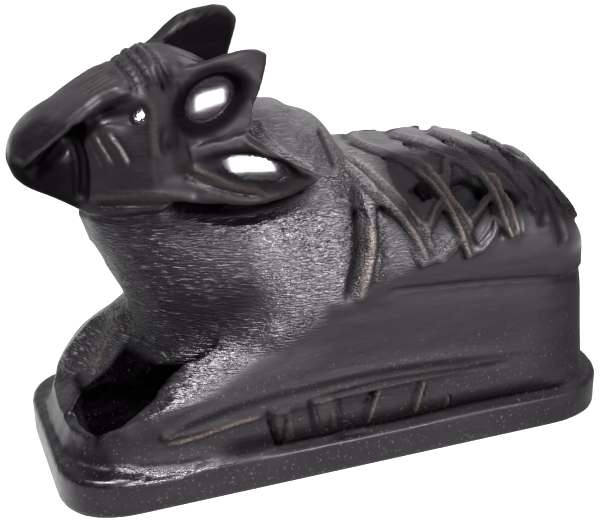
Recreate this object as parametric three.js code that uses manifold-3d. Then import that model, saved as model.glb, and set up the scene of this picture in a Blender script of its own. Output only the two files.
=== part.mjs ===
// A small carved bull lying on a flat plinth, cut from one block of black wood.
// Millimetres, +Z up, the ground at z = 0. The bull faces -X and its near flank faces -Y.

import * as THREE from "three";
import { mergeVertices } from "three/addons/utils/BufferGeometryUtils.js";
import Module from "manifold-3d";

const wasm = await Module();
wasm.setup();

// Driving sizes, in millimetres
const FIGURE_LENGTH = 60;
const PLINTH_HEIGHT = 4;
const PLINTH_SIDE_MARGIN = 0.7;
const PLINTH_FRONT_MARGIN = 1.7;
const PLINTH_REAR_MARGIN = 2.3;
const PLINTH_FRONT_CORNER = 7.5;
const PLINTH_REAR_CORNER = 10;
const PLINTH_EDGE = 0.5;

// The carving is drawn in parts, sixty to its own length, with heights counted from the plinth's top.
const PART = FIGURE_LENGTH / 60;
const PROW = -30.3;
const RUMP = 29.7;
const SINK = 1;

// The walls: half-widths at foot and top, the flare at the foot, and where the saddle cloth begins
const WALL_FOOT = 13.3;
const WALL_TOP = 12;
const WALL_HEIGHT = 12;
const HEM = 16;
const LEDGE_DEPTH = 0.7;
const SKIRT = 0.4;
const SKIRT_HEIGHT = 1.2;

const WOOD = new THREE.MeshStandardMaterial({ color: 0x17130f, roughness: 0.34, metalness: 0 });

// Curves through stations

// A smooth function of x through rows [x, value, value, ...], which gives a row's values back.
function curves(rows) {
  const places = rows.map((row) => row[0]);
  const values = rows.flatMap((row) => row.slice(1));
  const interpolant = new THREE.CubicInterpolant(places, values, rows[0].length - 1);
  return (x) => Array.from(interpolant.evaluate(THREE.MathUtils.clamp(x, places[0], places.at(-1))));
}

function curve(rows) {
  const through = curves(rows);
  return (x) => through(x)[0];
}

function steps(from, to, count) {
  return Array.from({ length: count + 1 }, (_, i) => THREE.MathUtils.lerp(from, to, i / count));
}

// What a function gives at even turns around a circle
function around(count, point) {
  return steps(0, 2 * Math.PI, count).slice(0, -1).map(point);
}

// A power that keeps the sign, for rounded outlines
function power(value, exponent) {
  return Math.sign(value) * Math.abs(value) ** exponent;
}

// From parts to millimetres above the ground
function place(x, y, z) {
  return new THREE.Vector3(x * PART, y * PART, PLINTH_HEIGHT + z * PART);
}

// Solids

// A closed geometry as a solid, with its shared corners merged and its faces outward.
function solid(geometry) {
  const bare = geometry.clone();
  bare.deleteAttribute("normal");
  bare.deleteAttribute("uv");
  const merged = mergeVertices(bare, 1e-4);
  const position = merged.getAttribute("position");
  const index = Array.from(merged.index.array);
  const corner = (i) => new THREE.Vector3().fromBufferAttribute(position, i);
  const faces = [];
  let volume = 0;
  for (let i = 0; i < index.length; i += 3) {
    const [a, b, c] = index.slice(i, i + 3);
    if (a !== b && b !== c && c !== a) {
      faces.push([a, b, c]);
      volume += corner(a).dot(corner(b).cross(corner(c)));
    }
  }
  const outward = volume > 0 ? faces : faces.map(([a, b, c]) => [a, c, b]);
  return new wasm.Manifold(
    new wasm.Mesh({
      numProp: 3,
      vertProperties: new Float32Array(position.array),
      triVerts: new Uint32Array(outward.flat()),
    }),
  );
}

function join(solids) {
  return solids.reduce((whole, next) => whole.add(next));
}

function cut(whole, cutters) {
  return cutters.reduce((left, cutter) => left.subtract(cutter), whole);
}

// A closed solid through rings of points: a capped cylinder whose corners move onto the rings.
function loft(rings) {
  const columns = rings[0].length;
  const rows = rings.length - 1;
  const cylinder = new THREE.CylinderGeometry(1, 1, 1, columns, rows);
  const position = cylinder.getAttribute("position");
  const middles = rings.map((ring) =>
    ring.reduce((sum, point) => sum.add(point), new THREE.Vector3()).divideScalar(columns),
  );
  for (let i = 0; i < position.count; i += 1) {
    const corner = new THREE.Vector3().fromBufferAttribute(position, i);
    const row = Math.round((0.5 - corner.y) * rows);
    const turn = Math.atan2(corner.x, corner.z) / (2 * Math.PI);
    const column = (Math.round(turn * columns) + columns) % columns;
    const reach = Math.hypot(corner.x, corner.z);
    const point = middles[row].clone().lerp(rings[row][column], reach);
    position.setXYZ(i, point.x, point.y, point.z);
  }
  return solid(cylinder);
}

// A ring across the body at x, from half a section [half-width, height], bottom to top.
function acrossRing(x, half) {
  const near = half.map(([y, z]) => place(x, -y, z));
  const far = half.slice(1, -1).reverse();
  return near.concat(far.map(([y, z]) => place(x, y, z)));
}

// A block whose unit cube is bent by a function of (along, across, up), each from 0 to 1.
function bentBlock(alongCount, acrossCount, bend) {
  const box = new THREE.BoxGeometry(1, 1, 1, alongCount, acrossCount, 1);
  const position = box.getAttribute("position");
  for (let i = 0; i < position.count; i += 1) {
    const point = bend(position.getX(i) + 0.5, position.getY(i) + 0.5, position.getZ(i) + 0.5);
    position.setXYZ(i, point.x, point.y, point.z);
  }
  return solid(box);
}

function mirrored(build) {
  return [-1, 1].map((side) => build(side));
}

// The plinth

function plinth() {
  const front = PROW * PART - PLINTH_FRONT_MARGIN;
  const rear = RUMP * PART + PLINTH_REAR_MARGIN;
  const side = WALL_FOOT * PART + PLINTH_SIDE_MARGIN;
  const outline = new THREE.Shape();
  outline.moveTo(front, -side + PLINTH_FRONT_CORNER);
  outline.quadraticCurveTo(front, -side, front + PLINTH_FRONT_CORNER, -side);
  outline.lineTo(rear - PLINTH_REAR_CORNER, -side);
  outline.quadraticCurveTo(rear, -side, rear, -side + PLINTH_REAR_CORNER);
  outline.lineTo(rear, side - PLINTH_REAR_CORNER);
  outline.quadraticCurveTo(rear, side, rear - PLINTH_REAR_CORNER, side);
  outline.lineTo(front + PLINTH_FRONT_CORNER, side);
  outline.quadraticCurveTo(front, side, front, side - PLINTH_FRONT_CORNER);
  outline.closePath();
  const slab = new THREE.ExtrudeGeometry(outline, {
    depth: PLINTH_HEIGHT - PLINTH_EDGE,
    bevelEnabled: true,
    bevelThickness: PLINTH_EDGE,
    bevelSize: PLINTH_EDGE,
    bevelOffset: -PLINTH_EDGE,
    bevelSegments: 1,
    curveSegments: 8,
  });
  const under = new THREE.BoxGeometry(4 * FIGURE_LENGTH, 4 * FIGURE_LENGTH, PLINTH_EDGE);
  under.translate(0, 0, -PLINTH_EDGE / 2);
  return solid(slab).subtract(solid(under));
}

// The trunk: a near-upright wall up to the saddle's hem, and a dome above it

const crestHeight = curve([
  [-12, 26.5],
  [0, 27],
  [4, 27],
  [8, 27.1],
  [12, 27],
  [16, 26.6],
  [20, 25.6],
  [24, 23.5],
  [27, 20.1],
  [28.8, 17.3],
  [RUMP, 16.2],
]);

const RUMP_ROUNDING = 7;
const SHOULDER = -2;
const FORE_TAPER = 0.025;

// How far the wall draws in at x: round at the rump, and tapered where it sinks into the neck.
function wallInset(x) {
  const past = Math.max(0, x - (RUMP - RUMP_ROUNDING));
  const before = Math.max(0, SHOULDER - x);
  const round = RUMP_ROUNDING - Math.sqrt(Math.max(0, RUMP_ROUNDING ** 2 - past ** 2));
  return round + FORE_TAPER * before ** 2;
}

const ledgeHeight = curve([
  [-2, 14.8],
  [8.5, 14],
  [16, 13.3],
  [25, 12.6],
  [RUMP, 12.3],
]);

// A point of the saddle's section, turned up from the hem
function domePoint(x, turn) {
  const width = WALL_TOP - wallInset(x);
  const rise = crestHeight(x) - HEM;
  return [width * power(Math.cos(turn), 0.8), HEM + rise * power(Math.sin(turn), 0.95)];
}

function trunk() {
  const stations = [-12, -8, -3, 1, 5, 9, 13, 17, 20.5, 23, 25.2, 27, 28.4, 29.3, RUMP];
  const rings = stations.map((x) => {
    const inset = wallInset(x);
    const top = WALL_TOP - inset;
    const foot = WALL_FOOT - inset - (x < SHOULDER ? SKIRT : 0);
    const ledge = ledgeHeight(x);
    const depth = LEDGE_DEPTH * THREE.MathUtils.smoothstep(x, -1, 8);
    const half = [
      [0, -SINK],
      [foot + SKIRT, -SINK],
      [foot + SKIRT, 0],
      [foot, SKIRT_HEIGHT],
      [THREE.MathUtils.lerp(foot, top, 0.5), WALL_HEIGHT / 2],
      [top, ledge - LEDGE_DEPTH],
      [top - depth, ledge],
      [top, ledge + 0.5],
    ];
    steps(0, Math.PI / 2, 8).forEach((turn) => half.push(domePoint(x, turn)));
    half.at(-1)[0] = 0;
    return acrossRing(x, half);
  });
  return loft(rings);
}

// The neck and chest: level outlines, round to the front, from the plinth to under the head.
// Stations up: the front, the rear and the half-width
const neckStations = curves([
  [-1, -14, 1.6, 13.1],
  [2, -15, 1.6, 13],
  [4.5, -19.6, 1.6, 12.7],
  [8, -20.6, 1.6, 12.4],
  [13.3, -21.9, 1.6, 12.1],
  [15.7, -22.8, 1.6, 12.1],
  [17.9, -24, 1.6, 12],
  [20.6, -25.3, 1.5, 11.5],
  [24, -26.2, 1.2, 10],
  [27, -24, 0.2, 8.7],
  [30, -20, -1.6, 6.8],
  [33, -16, -4, 3],
]);
const NECK_TOP = 33;
const NECK_MIDDLE = -1.5;
const NECK_SQUARENESS = 0.5;

function neck() {
  const rings = steps(-SINK, NECK_TOP, 11).map((z) => {
    const [front, rear, width] = neckStations(z);
    const middle = Math.min(NECK_MIDDLE, rear - 3);
    const pointed = THREE.MathUtils.lerp(1.3, 1.02, THREE.MathUtils.smoothstep(z, 13, 24));
    return around(24, (turn) => {
      const ahead = Math.cos(turn) < 0;
      const reach = ahead ? middle - front : rear - middle;
      const x = middle + reach * power(Math.cos(turn), ahead ? 0.95 : NECK_SQUARENESS);
      return place(x, width * power(Math.sin(turn), ahead ? pointed : NECK_SQUARENESS), z);
    });
  });
  return loft(rings);
}

// The hump over the shoulders: its crest and its half-width along x
const humpStations = curves([
  [-14, 34.5, 5],
  [-10, 34.6, 7],
  [-6.1, 33.7, 8.6],
  [-2.8, 32.3, 9],
  [-0.8, 31.7, 9],
  [0.5, 30.2, 8.6],
  [1.5, 28, 7.6],
]);
const HUMP_FOOT = 20;
const HUMP_PLACES = [-14, -11, -8, -5, -3, -1.2, -0.2, 0.5, 1, 1.5];

function hump() {
  const rings = HUMP_PLACES.map((x) => {
    const [crest, width] = humpStations(x);
    const half = [[0, HUMP_FOOT], [width, HUMP_FOOT]];
    steps(0, Math.PI / 2, 8)
      .slice(1)
      .forEach((turn) => {
        const rise = (crest - HUMP_FOOT) * Math.sin(turn) ** 0.85;
        half.push([width * Math.cos(turn), HUMP_FOOT + rise]);
      });
    half.at(-1)[0] = 0;
    return acrossRing(x, half);
  });
  return loft(rings);
}

// The forelegs

// The outline that both forelegs keep inside: a rounded prow that leans in and flares at its foot.
const PROW_MIDDLE = -8;
const PROW_REAR = 1;
const PROW_LEAN = 0.07;
const PROW_FLARE = 0.9;
const PROW_FLARE_HEIGHT = 2.4;
const PROW_SQUARENESS = 0.6;

function legLimit() {
  const rings = [-SINK, 0, 0.9, PROW_FLARE_HEIGHT, 5, 9, 14].map((z) => {
    const flare = PROW_FLARE * Math.max(0, 1 - z / PROW_FLARE_HEIGHT) ** 2;
    const inset = z * PROW_LEAN - flare;
    return around(30, (turn) => {
      const reach = Math.cos(turn) < 0 ? PROW_MIDDLE - PROW - inset : PROW_REAR - PROW_MIDDLE;
      const x = PROW_MIDDLE + reach * power(Math.cos(turn), PROW_SQUARENESS);
      const y = (WALL_FOOT - inset) * power(Math.sin(turn), PROW_SQUARENESS);
      return place(x, y, z);
    });
  });
  return loft(rings);
}

// The wall's half-width at a place and height
function sideWall(x, z) {
  const share = THREE.MathUtils.clamp(z / WALL_HEIGHT, 0, 1);
  return THREE.MathUtils.lerp(WALL_FOOT, WALL_TOP, share) - wallInset(Math.max(x, 0));
}

const LEG_RELIEF = 0.06;

// The near foreleg lies flat: its crisp top edge, and the inner edge of its sloping top face.
const nearLegStations = curves([
  [-31, 2.2, 2.2],
  [-28, 3.2, 2.8],
  [-25.7, 4.3, 3.4],
  [-23, 5.5, 5],
  [-20.6, 6.2, 7.6],
  [-17.6, 6.9, 9.8],
  [-14, 7.6, 11.8],
  [-10, 8.8, 13.6],
  [-5, 10.2, 15],
  [1, 11.6, 16],
]);

function nearLeg() {
  const rings = steps(-31, 1, 12).map((x) => {
    const [edge, inner] = nearLegStations(x);
    const relief = THREE.MathUtils.mapLinear(Math.max(x, -4), -4, 1, LEG_RELIEF, -LEG_RELIEF);
    const section = [
      [1, -SINK],
      [-WALL_FOOT - SKIRT, -SINK],
      [-WALL_FOOT - SKIRT, 0],
      [-sideWall(0, SKIRT_HEIGHT) - relief, SKIRT_HEIGHT],
      [-sideWall(0, edge - 1.4) - relief, edge - 1.4],
      [-sideWall(0, edge) + 0.2, edge - 0.4],
      [-sideWall(0, edge) + 0.8, edge],
      [-10, THREE.MathUtils.lerp(edge, inner, 0.4)],
      [-8.3, inner],
      [1, inner],
    ];
    return section.map(([y, z]) => place(x, y, z));
  });
  return loft(rings);
}

// The far foreleg has its knee raised and runs into the brisket:
// the brisket's lower edge (across, height), an inner ridge and the outer edge.
const farLegStations = curves([
  [-31, -2.6, 2.2, 2.2, 1.4],
  [-29.6, -2.6, 2.8, 2.7, 2.6],
  [-28.4, -2.2, 3.4, 3.2, 4.4],
  [-26.5, -0.9, 4.2, 4.3, 6.6],
  [-25, -1.2, 4.8, 6, 8.1],
  [-22, -4, 6.5, 10, 10],
  [-19.2, -6, 8.1, 12.4, 12],
  [-15.2, -8, 10.2, 13, 12.5],
  [-12, -8, 11, 13, 12.5],
]);

function farLeg() {
  const rings = steps(-31, -12, 12).map((x) => {
    const [brisket, low, ridge, outer] = farLegStations(x);
    const section = [
      [brisket + 0.5, -SINK],
      [brisket, low],
      [THREE.MathUtils.lerp(brisket, 3.2, 0.5), THREE.MathUtils.lerp(low, ridge, 0.4)],
      [3.2, ridge],
      [5.2, THREE.MathUtils.lerp(ridge, outer, 0.4)],
      [7.5, outer],
      [10.5, outer - 1.2],
      [13, Math.max(1, outer - 4)],
      [14, -SINK],
    ];
    return section.map(([y, z]) => place(x, y, z));
  });
  return loft(rings);
}

// The deep pocket between the forelegs and under the brisket, wide at the prow and narrow behind:
// its near and far sides, the brisket's lower edge and the floor
const POCKET_STATIONS = [
  [-28.7, -5.6, -2.6, 3.4, 2.2],
  [-27.6, -9, -0.8, 3.9, 1],
  [-25.2, -9.9, -0.8, 4.6, 0.6],
  [-22, -8.7, -3.8, 6.5, 0.9],
  [-19.2, -8.3, -5.6, 8, 2.2],
  [-16.5, -8.3, -6.9, 9.3, 5],
  [-14, -8.4, -7.8, 10.6, 8.6],
];

function pocket() {
  const rings = POCKET_STATIONS.map(([x, near, far, edge, floor]) => {
    const wide = far - near;
    return [
      [near - 0.2, edge + 3],
      [near, THREE.MathUtils.lerp(floor, edge, 0.5)],
      [near + 0.2 * wide, floor + 0.1 * (edge - floor)],
      [near + 0.6 * wide, floor],
      [far + 0.1 * wide, floor + 0.2 * (edge - floor)],
      [far + 0.2 * wide, THREE.MathUtils.lerp(floor, edge, 0.6)],
      [far, edge],
      [near + 0.3 * wide, edge + 3],
    ].map(([y, z]) => place(x, y, z));
  });
  return loft(rings);
}

// The head

const bridge = curve([
  [-32.7, 31.1],
  [-32, 32.7],
  [-31, 33.8],
  [-28.4, 35.2],
  [-24.4, 36.8],
  [-19.7, 39.5],
  [-17.6, 40.2],
  [-14, 39.4],
  [-10, 36.5],
]);
const bandStations = curves([
  [-32.7, 29.6, 1.8],
  [-32, 29.9, 2.9],
  [-31, 30.9, 3.7],
  [-28.5, 32.6, 4.5],
  [-26, 34.1, 5],
  [-23.3, 35.4, 5.4],
  [-20, 36.2, 5.8],
  [-16, 36.4, 5.6],
  [-10, 34, 4.6],
]);

const NOSE_STATIONS = [-32.7, -32.3, -31.6, -30.3, -28.4, -26, -23.5, -21, -18.5, -16, -13, -10];
const NOSE_SECTION = [[0, -0.1], [0.85, -0.04], [1, 0.1], [0.97, 0.5], [0.8, 0.78], [0.45, 0.95], [0, 1]];

// A point of the nose's half section at x, grown outward by a relief
function nosePoint(x, corner, relief) {
  const [low, width] = bandStations(x);
  const [across, up] = NOSE_SECTION[corner];
  const height = THREE.MathUtils.lerp(low, bridge(x), up);
  return [across * (width + relief), height + 0.4 * relief * up];
}

// The nose: a long rounded bar from the muzzle to the forehead
function nose() {
  const half = (x) => NOSE_SECTION.map((_, corner) => nosePoint(x, corner, 0));
  return loft(NOSE_STATIONS.map((x) => acrossRing(x, half(x))));
}

// The harness: narrow straps laid over the forehead, their ends leaning back
const STRAP_PLACES = [-20.6, -19.2];
const STRAP_WIDTH = 0.8;
const STRAP_RELIEF = 0.3;
const STRAP_LEAN = 0.5;

function strapRing(x, relief) {
  const half = NOSE_SECTION.map((_, corner) => {
    const leaning = x + STRAP_LEAN * (NOSE_SECTION.length - 1 - corner);
    return [leaning, ...nosePoint(leaning, corner, relief)];
  });
  const near = half.map(([at, y, z]) => place(at, -y, z));
  const far = half.slice(1, -1).reverse();
  return near.concat(far.map(([at, y, z]) => place(at, y, z)));
}

function harness() {
  return STRAP_PLACES.map((x) =>
    loft([
      strapRing(x, 0),
      strapRing(x + 0.2 * STRAP_WIDTH, STRAP_RELIEF),
      strapRing(x + 0.8 * STRAP_WIDTH, STRAP_RELIEF),
      strapRing(x + STRAP_WIDTH, 0),
    ]),
  );
}

// The jaw and cheeks below it: throat line, collar edge, then half-widths going up
const jawStations = curves([
  [-32.4, 28.6, 28.8, 1.5, 1.6],
  [-31.6, 27.5, 28, 2.6, 2.7],
  [-29.7, 26.5, 27.2, 3.5, 3.5],
  [-27.6, 25.3, 26, 4.1, 4],
  [-26.6, 24.6, 25.3, 3.9, 3.6],
  [-26, 24.2, 25, 4.8, 4.4],
  [-24, 23.6, 25, 6.2, 4.9],
  [-20, 23.2, 25.6, 8.4, 5.7],
  [-16, 23, 26, 9.8, 6.6],
  [-12, 23, 26, 10.2, 7],
  [-8, 23, 26, 9, 6],
]);

const JAW_PLACES = [-32.4, -31.6, -30.6, -29.2, -27.6, -26.7, -26, -25, -22.5, -19, -16, -12, -9];

function jaw() {
  const rings = JAW_PLACES.map((x) => {
    const [throat, collar, wide, high] = jawStations(x);
    const nape = THREE.MathUtils.mapLinear(x, -16, -9, 37, 32);
    const top = Math.min(bandStations(x)[0] + 0.4, nape);
    return acrossRing(x, [
      [0, throat],
      [wide * 0.6, THREE.MathUtils.lerp(throat, collar, 0.45)],
      [wide * 0.96, collar],
      [wide, collar + 0.7],
      [THREE.MathUtils.lerp(wide, high, 0.35), THREE.MathUtils.lerp(collar, top, 0.4)],
      [THREE.MathUtils.lerp(wide, high, 0.75), THREE.MathUtils.lerp(collar, top, 0.75)],
      [high, top],
      [0, top],
    ]);
  });
  return loft(rings);
}

// The horns: blades swept back, scooped on the outer face.
// Top lines: the near horn's height and the far one's, which stands higher
const hornTops = curves([
  [-19, 37.6, 38.4],
  [-16, 38.7, 40.2],
  [-14, 39, 41.8],
  [-12, 39.6, 42.5],
  [-10, 40.1, 42.8],
  [-8.4, 40.2, 42.8],
  [-7.2, 39.6, 42.1],
  [-6.3, 38, 40.6],
]);
const HORN_FRONT = -19;
const HORN_REAR_LEAN = 3.6;

function horn(side) {
  const rings = steps(0, 1, 9).map((share) => {
    const x = THREE.MathUtils.lerp(HORN_FRONT, side < 0 ? -7.2 : -6.6, share);
    const [near, far] = hornTops(x);
    const high = side < 0 ? near : far;
    const low = THREE.MathUtils.lerp(34, 31.5, share);
    const out = THREE.MathUtils.lerp(4.6, 6.6, Math.sqrt(share));
    const thick = THREE.MathUtils.lerp(3.6, 1.7, share);
    const lean = THREE.MathUtils.lerp(0.4, 2.4, Math.sqrt(share));
    const shift = (z) => (-HORN_REAR_LEAN * share * (high - z)) / (high - low);
    return [
      [out - thick, low],
      [out + lean, low],
      [out + lean, low + 1.2],
      [out + lean * 0.7, THREE.MathUtils.lerp(low, high, 0.5)],
      [out + 0.2, high - 0.9],
      [out - 0.4, high - 0.1],
      [out - 1.1, high],
      [out - thick * 0.9, high - 0.8],
      [out - thick, THREE.MathUtils.lerp(low, high, 0.5)],
    ].map(([y, z]) => place(x + shift(z), side * y, z));
  });
  return loft(rings);
}

// The bowl scooped from a horn's outer face
function hornBowl(side) {
  const bowl = new THREE.SphereGeometry(1, 14, 9);
  bowl.scale(6 * PART, 2.7 * PART, 3.6 * PART);
  bowl.rotateY(THREE.MathUtils.degToRad(-18));
  bowl.rotateX(THREE.MathUtils.degToRad(side * -14));
  const middle = place(-12.9, side * 9.1, 35.8);
  bowl.translate(middle.x, middle.y, middle.z);
  return solid(bowl);
}

// The hollows carved in the cheek, below the nose and before the ear's root:
// where, then half-length, half-depth and half-height, and a tilt in degrees
const CHEEK_HOLLOWS = [
  [-21.3, 6, 34.1, 2.1, 0.7, 0.8, -28],
  [-18.2, 7.6, 33, 0.9, 0.9, 2.3, 4],
];

function cheekHollows(side) {
  return CHEEK_HOLLOWS.map(([x, y, z, length, depth, height, tilt]) => {
    const hollow = new THREE.SphereGeometry(1, 10, 6);
    hollow.scale(length * PART, depth * PART, height * PART);
    hollow.rotateY(THREE.MathUtils.degToRad(tilt));
    const middle = place(x, side * y, z);
    hollow.translate(middle.x, middle.y, middle.z);
    return solid(hollow);
  });
}

// The ears: leaves laid back along the neck, from a pointed root to a pointed tip.
// Stations: lower edge, upper edge, how far out, the hollow's lower and upper edge and its depth
const earStations = curves([
  [-18.4, 28.4, 29.6, 8, 29, 29.1, 0],
  [-17.2, 27.4, 30.9, 9, 29, 30, 0.2],
  [-15.3, 26.6, 31.9, 10, 28, 31, 0.9],
  [-13, 26.1, 32.6, 10.8, 27.2, 31.7, 1.3],
  [-10.8, 25.8, 32.9, 11.2, 26.8, 31.9, 1.5],
  [-8.6, 26, 30.9, 11.5, 26.8, 30.1, 1.4],
  [-6.4, 26.6, 29.3, 11.7, 27.2, 28.7, 0.9],
  [-4.6, 27.5, 28.6, 11.9, 27.9, 28.2, 0.2],
  [-3.8, 28, 28.2, 11.9, 28, 28.1, 0],
]);
const EAR_ROOT = -18.4;
const EAR_TIP = -3.8;

function ear(side) {
  const rings = steps(EAR_ROOT, EAR_TIP, 10).map((x) => {
    const [low, high, out] = earStations(x);
    const thick = THREE.MathUtils.mapLinear(x, EAR_ROOT, EAR_TIP, 4, 1.4);
    const middle = THREE.MathUtils.lerp(low, high, 0.5);
    return [
      [out - thick, low + 0.2],
      [out - 0.4, low],
      [out, THREE.MathUtils.lerp(low, high, 0.2)],
      [out - 0.1, middle],
      [out - 0.4, THREE.MathUtils.lerp(low, high, 0.85)],
      [out - 1, high],
      [out - thick, high - 0.3],
      [out - thick - 0.2, middle],
    ].map(([y, z]) => place(x, side * y, z));
  });
  return loft(rings);
}

const EAR_MOUTH = 1.5;

// The hollow of an ear, open outward
function earHollow(side) {
  const rings = steps(-17, -4.7, 8).map((x) => {
    const [, , out, low, high, depth] = earStations(x);
    return [
      [out + EAR_MOUTH, low],
      [out, low],
      [out - depth, THREE.MathUtils.lerp(low, high, 0.35)],
      [out - depth, THREE.MathUtils.lerp(low, high, 0.65)],
      [out - 0.4, high],
      [out + EAR_MOUTH, high],
    ].map(([y, z]) => place(x, side * y, z));
  });
  return loft(rings);
}

// The raised leaf inside an ear's hollow
function earRidge(side) {
  const middle = curve([[-17.6, 30], [-15.9, 29.7], [-13.7, 28.9], [-11.4, 27.8], [-9.4, 26.9]]);
  return bentBlock(6, 2, (along, across, up) => {
    const x = THREE.MathUtils.lerp(-17.6, -9.4, along);
    const [, , out, , , depth] = earStations(x);
    const half = 0.65 * Math.sin(Math.PI * THREE.MathUtils.clamp(along, 0.06, 0.94));
    const crown = across > 0.25 && across < 0.75 ? 0.1 : 0.75;
    const y = up > 0.5 ? out - 0.35 - crown * depth * 0.6 : out - depth - 1;
    return place(x, side * y, middle(x) + (across - 0.5) * 2 * half);
  });
}

// The straps and the net

// A point over the saddle, at a station, a turn of the dome and a height above it
function overBack(side, x, turn, height) {
  const at = (a, b) => {
    const [y, z] = domePoint(a, b);
    return new THREE.Vector3(a, y, z);
  };
  const point = at(x, turn);
  const alongX = at(x + 0.05, turn).sub(at(x - 0.05, turn));
  const alongTurn = at(x, turn + 0.02).sub(at(x, turn - 0.02));
  const normal = alongX.cross(alongTurn).normalize();
  point.addScaledVector(normal, height);
  return place(point.x, side * point.y, point.z);
}

const BAND_STEPS = 5;
const BAND_FOOT = -0.9;
const BAND_SPREAD = 1.3;

// How far over the crest a band may reach, in degrees of the dome's turn
const BAND_END = 93;
const NET_RELIEF = 0.6;
const COUNTER_RELIEF = 0.35;

// How many parts one degree of the dome's turn spans
const DEGREE_SPAN = 0.24;

// A band over the back along stations [x, degrees], from a front edge to a rear one:
// offsets from the stations' line, and heights, as functions of the share along it.
function backBand(side, path, front, rear) {
  const route = curves(path.map(([x, degrees], i) => [i / (path.length - 1), x, degrees]));
  const spot = (share) => {
    const [x, degrees] = route(share);
    return new THREE.Vector2(x, degrees);
  };
  return bentBlock(BAND_STEPS, 1, (along, across, up) => {
    const here = spot(along);
    const ahead = spot(Math.min(1, along + 0.02)).sub(spot(Math.max(0, along - 0.02)));
    const sideways = new THREE.Vector2(-ahead.y * DEGREE_SPAN, ahead.x).normalize();
    const [offset, height] = across > 0.5 ? rear(along) : front(along);
    const spread = offset * (up > 0.5 ? 1 : BAND_SPREAD);
    const x = here.x + sideways.x * spread;
    const degrees = Math.min(BAND_END, here.y + (sideways.y * spread) / DEGREE_SPAN);
    return overBack(side, x, THREE.MathUtils.degToRad(degrees), up > 0.5 ? height : BAND_FOOT);
  });
}

function evenBand(side, path, width, relief) {
  return backBand(side, path, () => [-width / 2, relief], () => [width / 2, relief]);
}

// The net's main bands, from the crest down and back. Each is a broad plate at the crest,
// raised along its front edge, and a narrow ridge on the flank.
const NET_BANDS = [
  [[1.4, 76], [3.4, 54], [5.4, 30], [7.4, 5]],
  [[3.6, 91], [7.6, 68], [10.2, 44], [12.4, 6]],
  [[8.4, 92], [12.8, 70], [15.9, 46], [17.8, 14]],
  [[13.4, 93], [17.4, 72], [19.8, 52], [21.2, 28]],
  [[18.9, 94], [21.8, 75], [24, 56], [25, 38]],
  [[23.6, 91], [25.6, 78], [26.9, 60], [27.5, 44]],
];
const PLATE_WIDTH = 3.6;
const NET_WIDTH = 1.5;

function net(side) {
  const narrowing = (along) => THREE.MathUtils.smoothstep(along, 0.12, 0.5);
  const front = () => [-NET_WIDTH / 2, NET_RELIEF];
  const rear = (along) => [
    THREE.MathUtils.lerp(PLATE_WIDTH - NET_WIDTH / 2, NET_WIDTH / 2, narrowing(along)),
    THREE.MathUtils.lerp(0.05, NET_RELIEF, narrowing(along)),
  ];
  return NET_BANDS.map((path) => backBand(side, path, front, rear));
}

// The bands that cross them
const COUNTER_BANDS = [
  [[12.2, 64], [10.4, 43], [7.2, 22]],
  [[17.2, 50], [13.4, 28], [8.6, 7]],
  [[17.4, 34], [15.6, 20], [13.2, 8]],
];

function counterNet(side) {
  return COUNTER_BANDS.map((path) => evenBand(side, path, 0.9, COUNTER_RELIEF));
}

// The girth strap, broad over the crest and narrow down the flank
function girth(side) {
  return [
    evenBand(side, [[2.4, 92], [2.2, 66], [2, 40]], 2.4, 0.5),
    evenBand(side, [[2, 46], [1.5, 20], [0.9, 0]], 1, 0.7),
  ];
}

// Deep diamond pockets of the net: where, how far they reach and how deep they are
const POCKET_DIAMOND = [[-1, 0.35], [0.25, 1.1], [1, -0.35], [-0.25, -1.1]];
const NET_POCKETS = [
  [13.1, 43, 2.5, 1.7],
  [8.1, 46, 1.5, 1.1],
  [18.4, 38, 1.4, 1.1],
];

function netPockets(side) {
  return NET_POCKETS.map(([x, degrees, reach, depth]) => {
    const rings = [-depth, 1.6].map((height) =>
      POCKET_DIAMOND.map(([a, b]) => {
        const size = height < 0 ? reach * 0.7 : reach * 1.2;
        const turn = THREE.MathUtils.degToRad(degrees + (b * size) / DEGREE_SPAN);
        return overBack(side, x + a * size, turn, height);
      }),
    );
    return loft(rings);
  });
}

// The folded hind leg: a low strip along the wall, with four cuts below it.
// Stations: the strip's lower and upper edge
const stripStations = curves([
  [-22, 2.9, 3.5],
  [-18, 3.3, 5.2],
  [-13.8, 3.6, 6.1],
  [-4, 4.1, 6.7],
  [4, 4.4, 7],
  [10, 4.5, 7.1],
  [16, 4.4, 6.4],
  [20, 4.2, 4.9],
]);

const STRIP_FRONT = -22;
const STRIP_REAR = 20;

function strip(side) {
  return bentBlock(10, 2, (along, across, up) => {
    const x = THREE.MathUtils.lerp(STRIP_FRONT, STRIP_REAR, along);
    const [low, high] = stripStations(x);
    const z = THREE.MathUtils.lerp(low, high, across);
    const rise = THREE.MathUtils.smoothstep(along, 0, 0.2);
    const fade = rise * (1 - THREE.MathUtils.smoothstep(along, 0.75, 1));
    const out = up > 0.5 ? (0.4 * (1 - across) + 0.15) * fade : -0.8;
    return place(x, side * (sideWall(x, z) + out), z);
  });
}

// The cuts: where, how high, how wide, their foot, and how far the foot lies ahead
const SIDE_CUTS = [
  [-9.6, 3.4, 2.2, 0.3, 0],
  [-4.4, 3.9, 2.4, 0.6, 0],
  [0.9, 4.1, 0.7, 0.5, 2.4],
  [6.2, 4.3, 0.6, 0.5, 1.9],
];

function sideCuts(side) {
  return SIDE_CUTS.map(([x, high, wide, low, slant]) =>
    bentBlock(1, 1, (along, across, up) => {
      const z = THREE.MathUtils.lerp(low, high, across);
      const middle = x - slant * (1 - across);
      const width = wide * THREE.MathUtils.lerp(0.45, 1, across);
      const out = up > 0.5 ? 2 : -0.7;
      return place(middle + (along - 0.5) * width, side * (sideWall(x, z) + out), z);
    }),
  );
}

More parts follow.
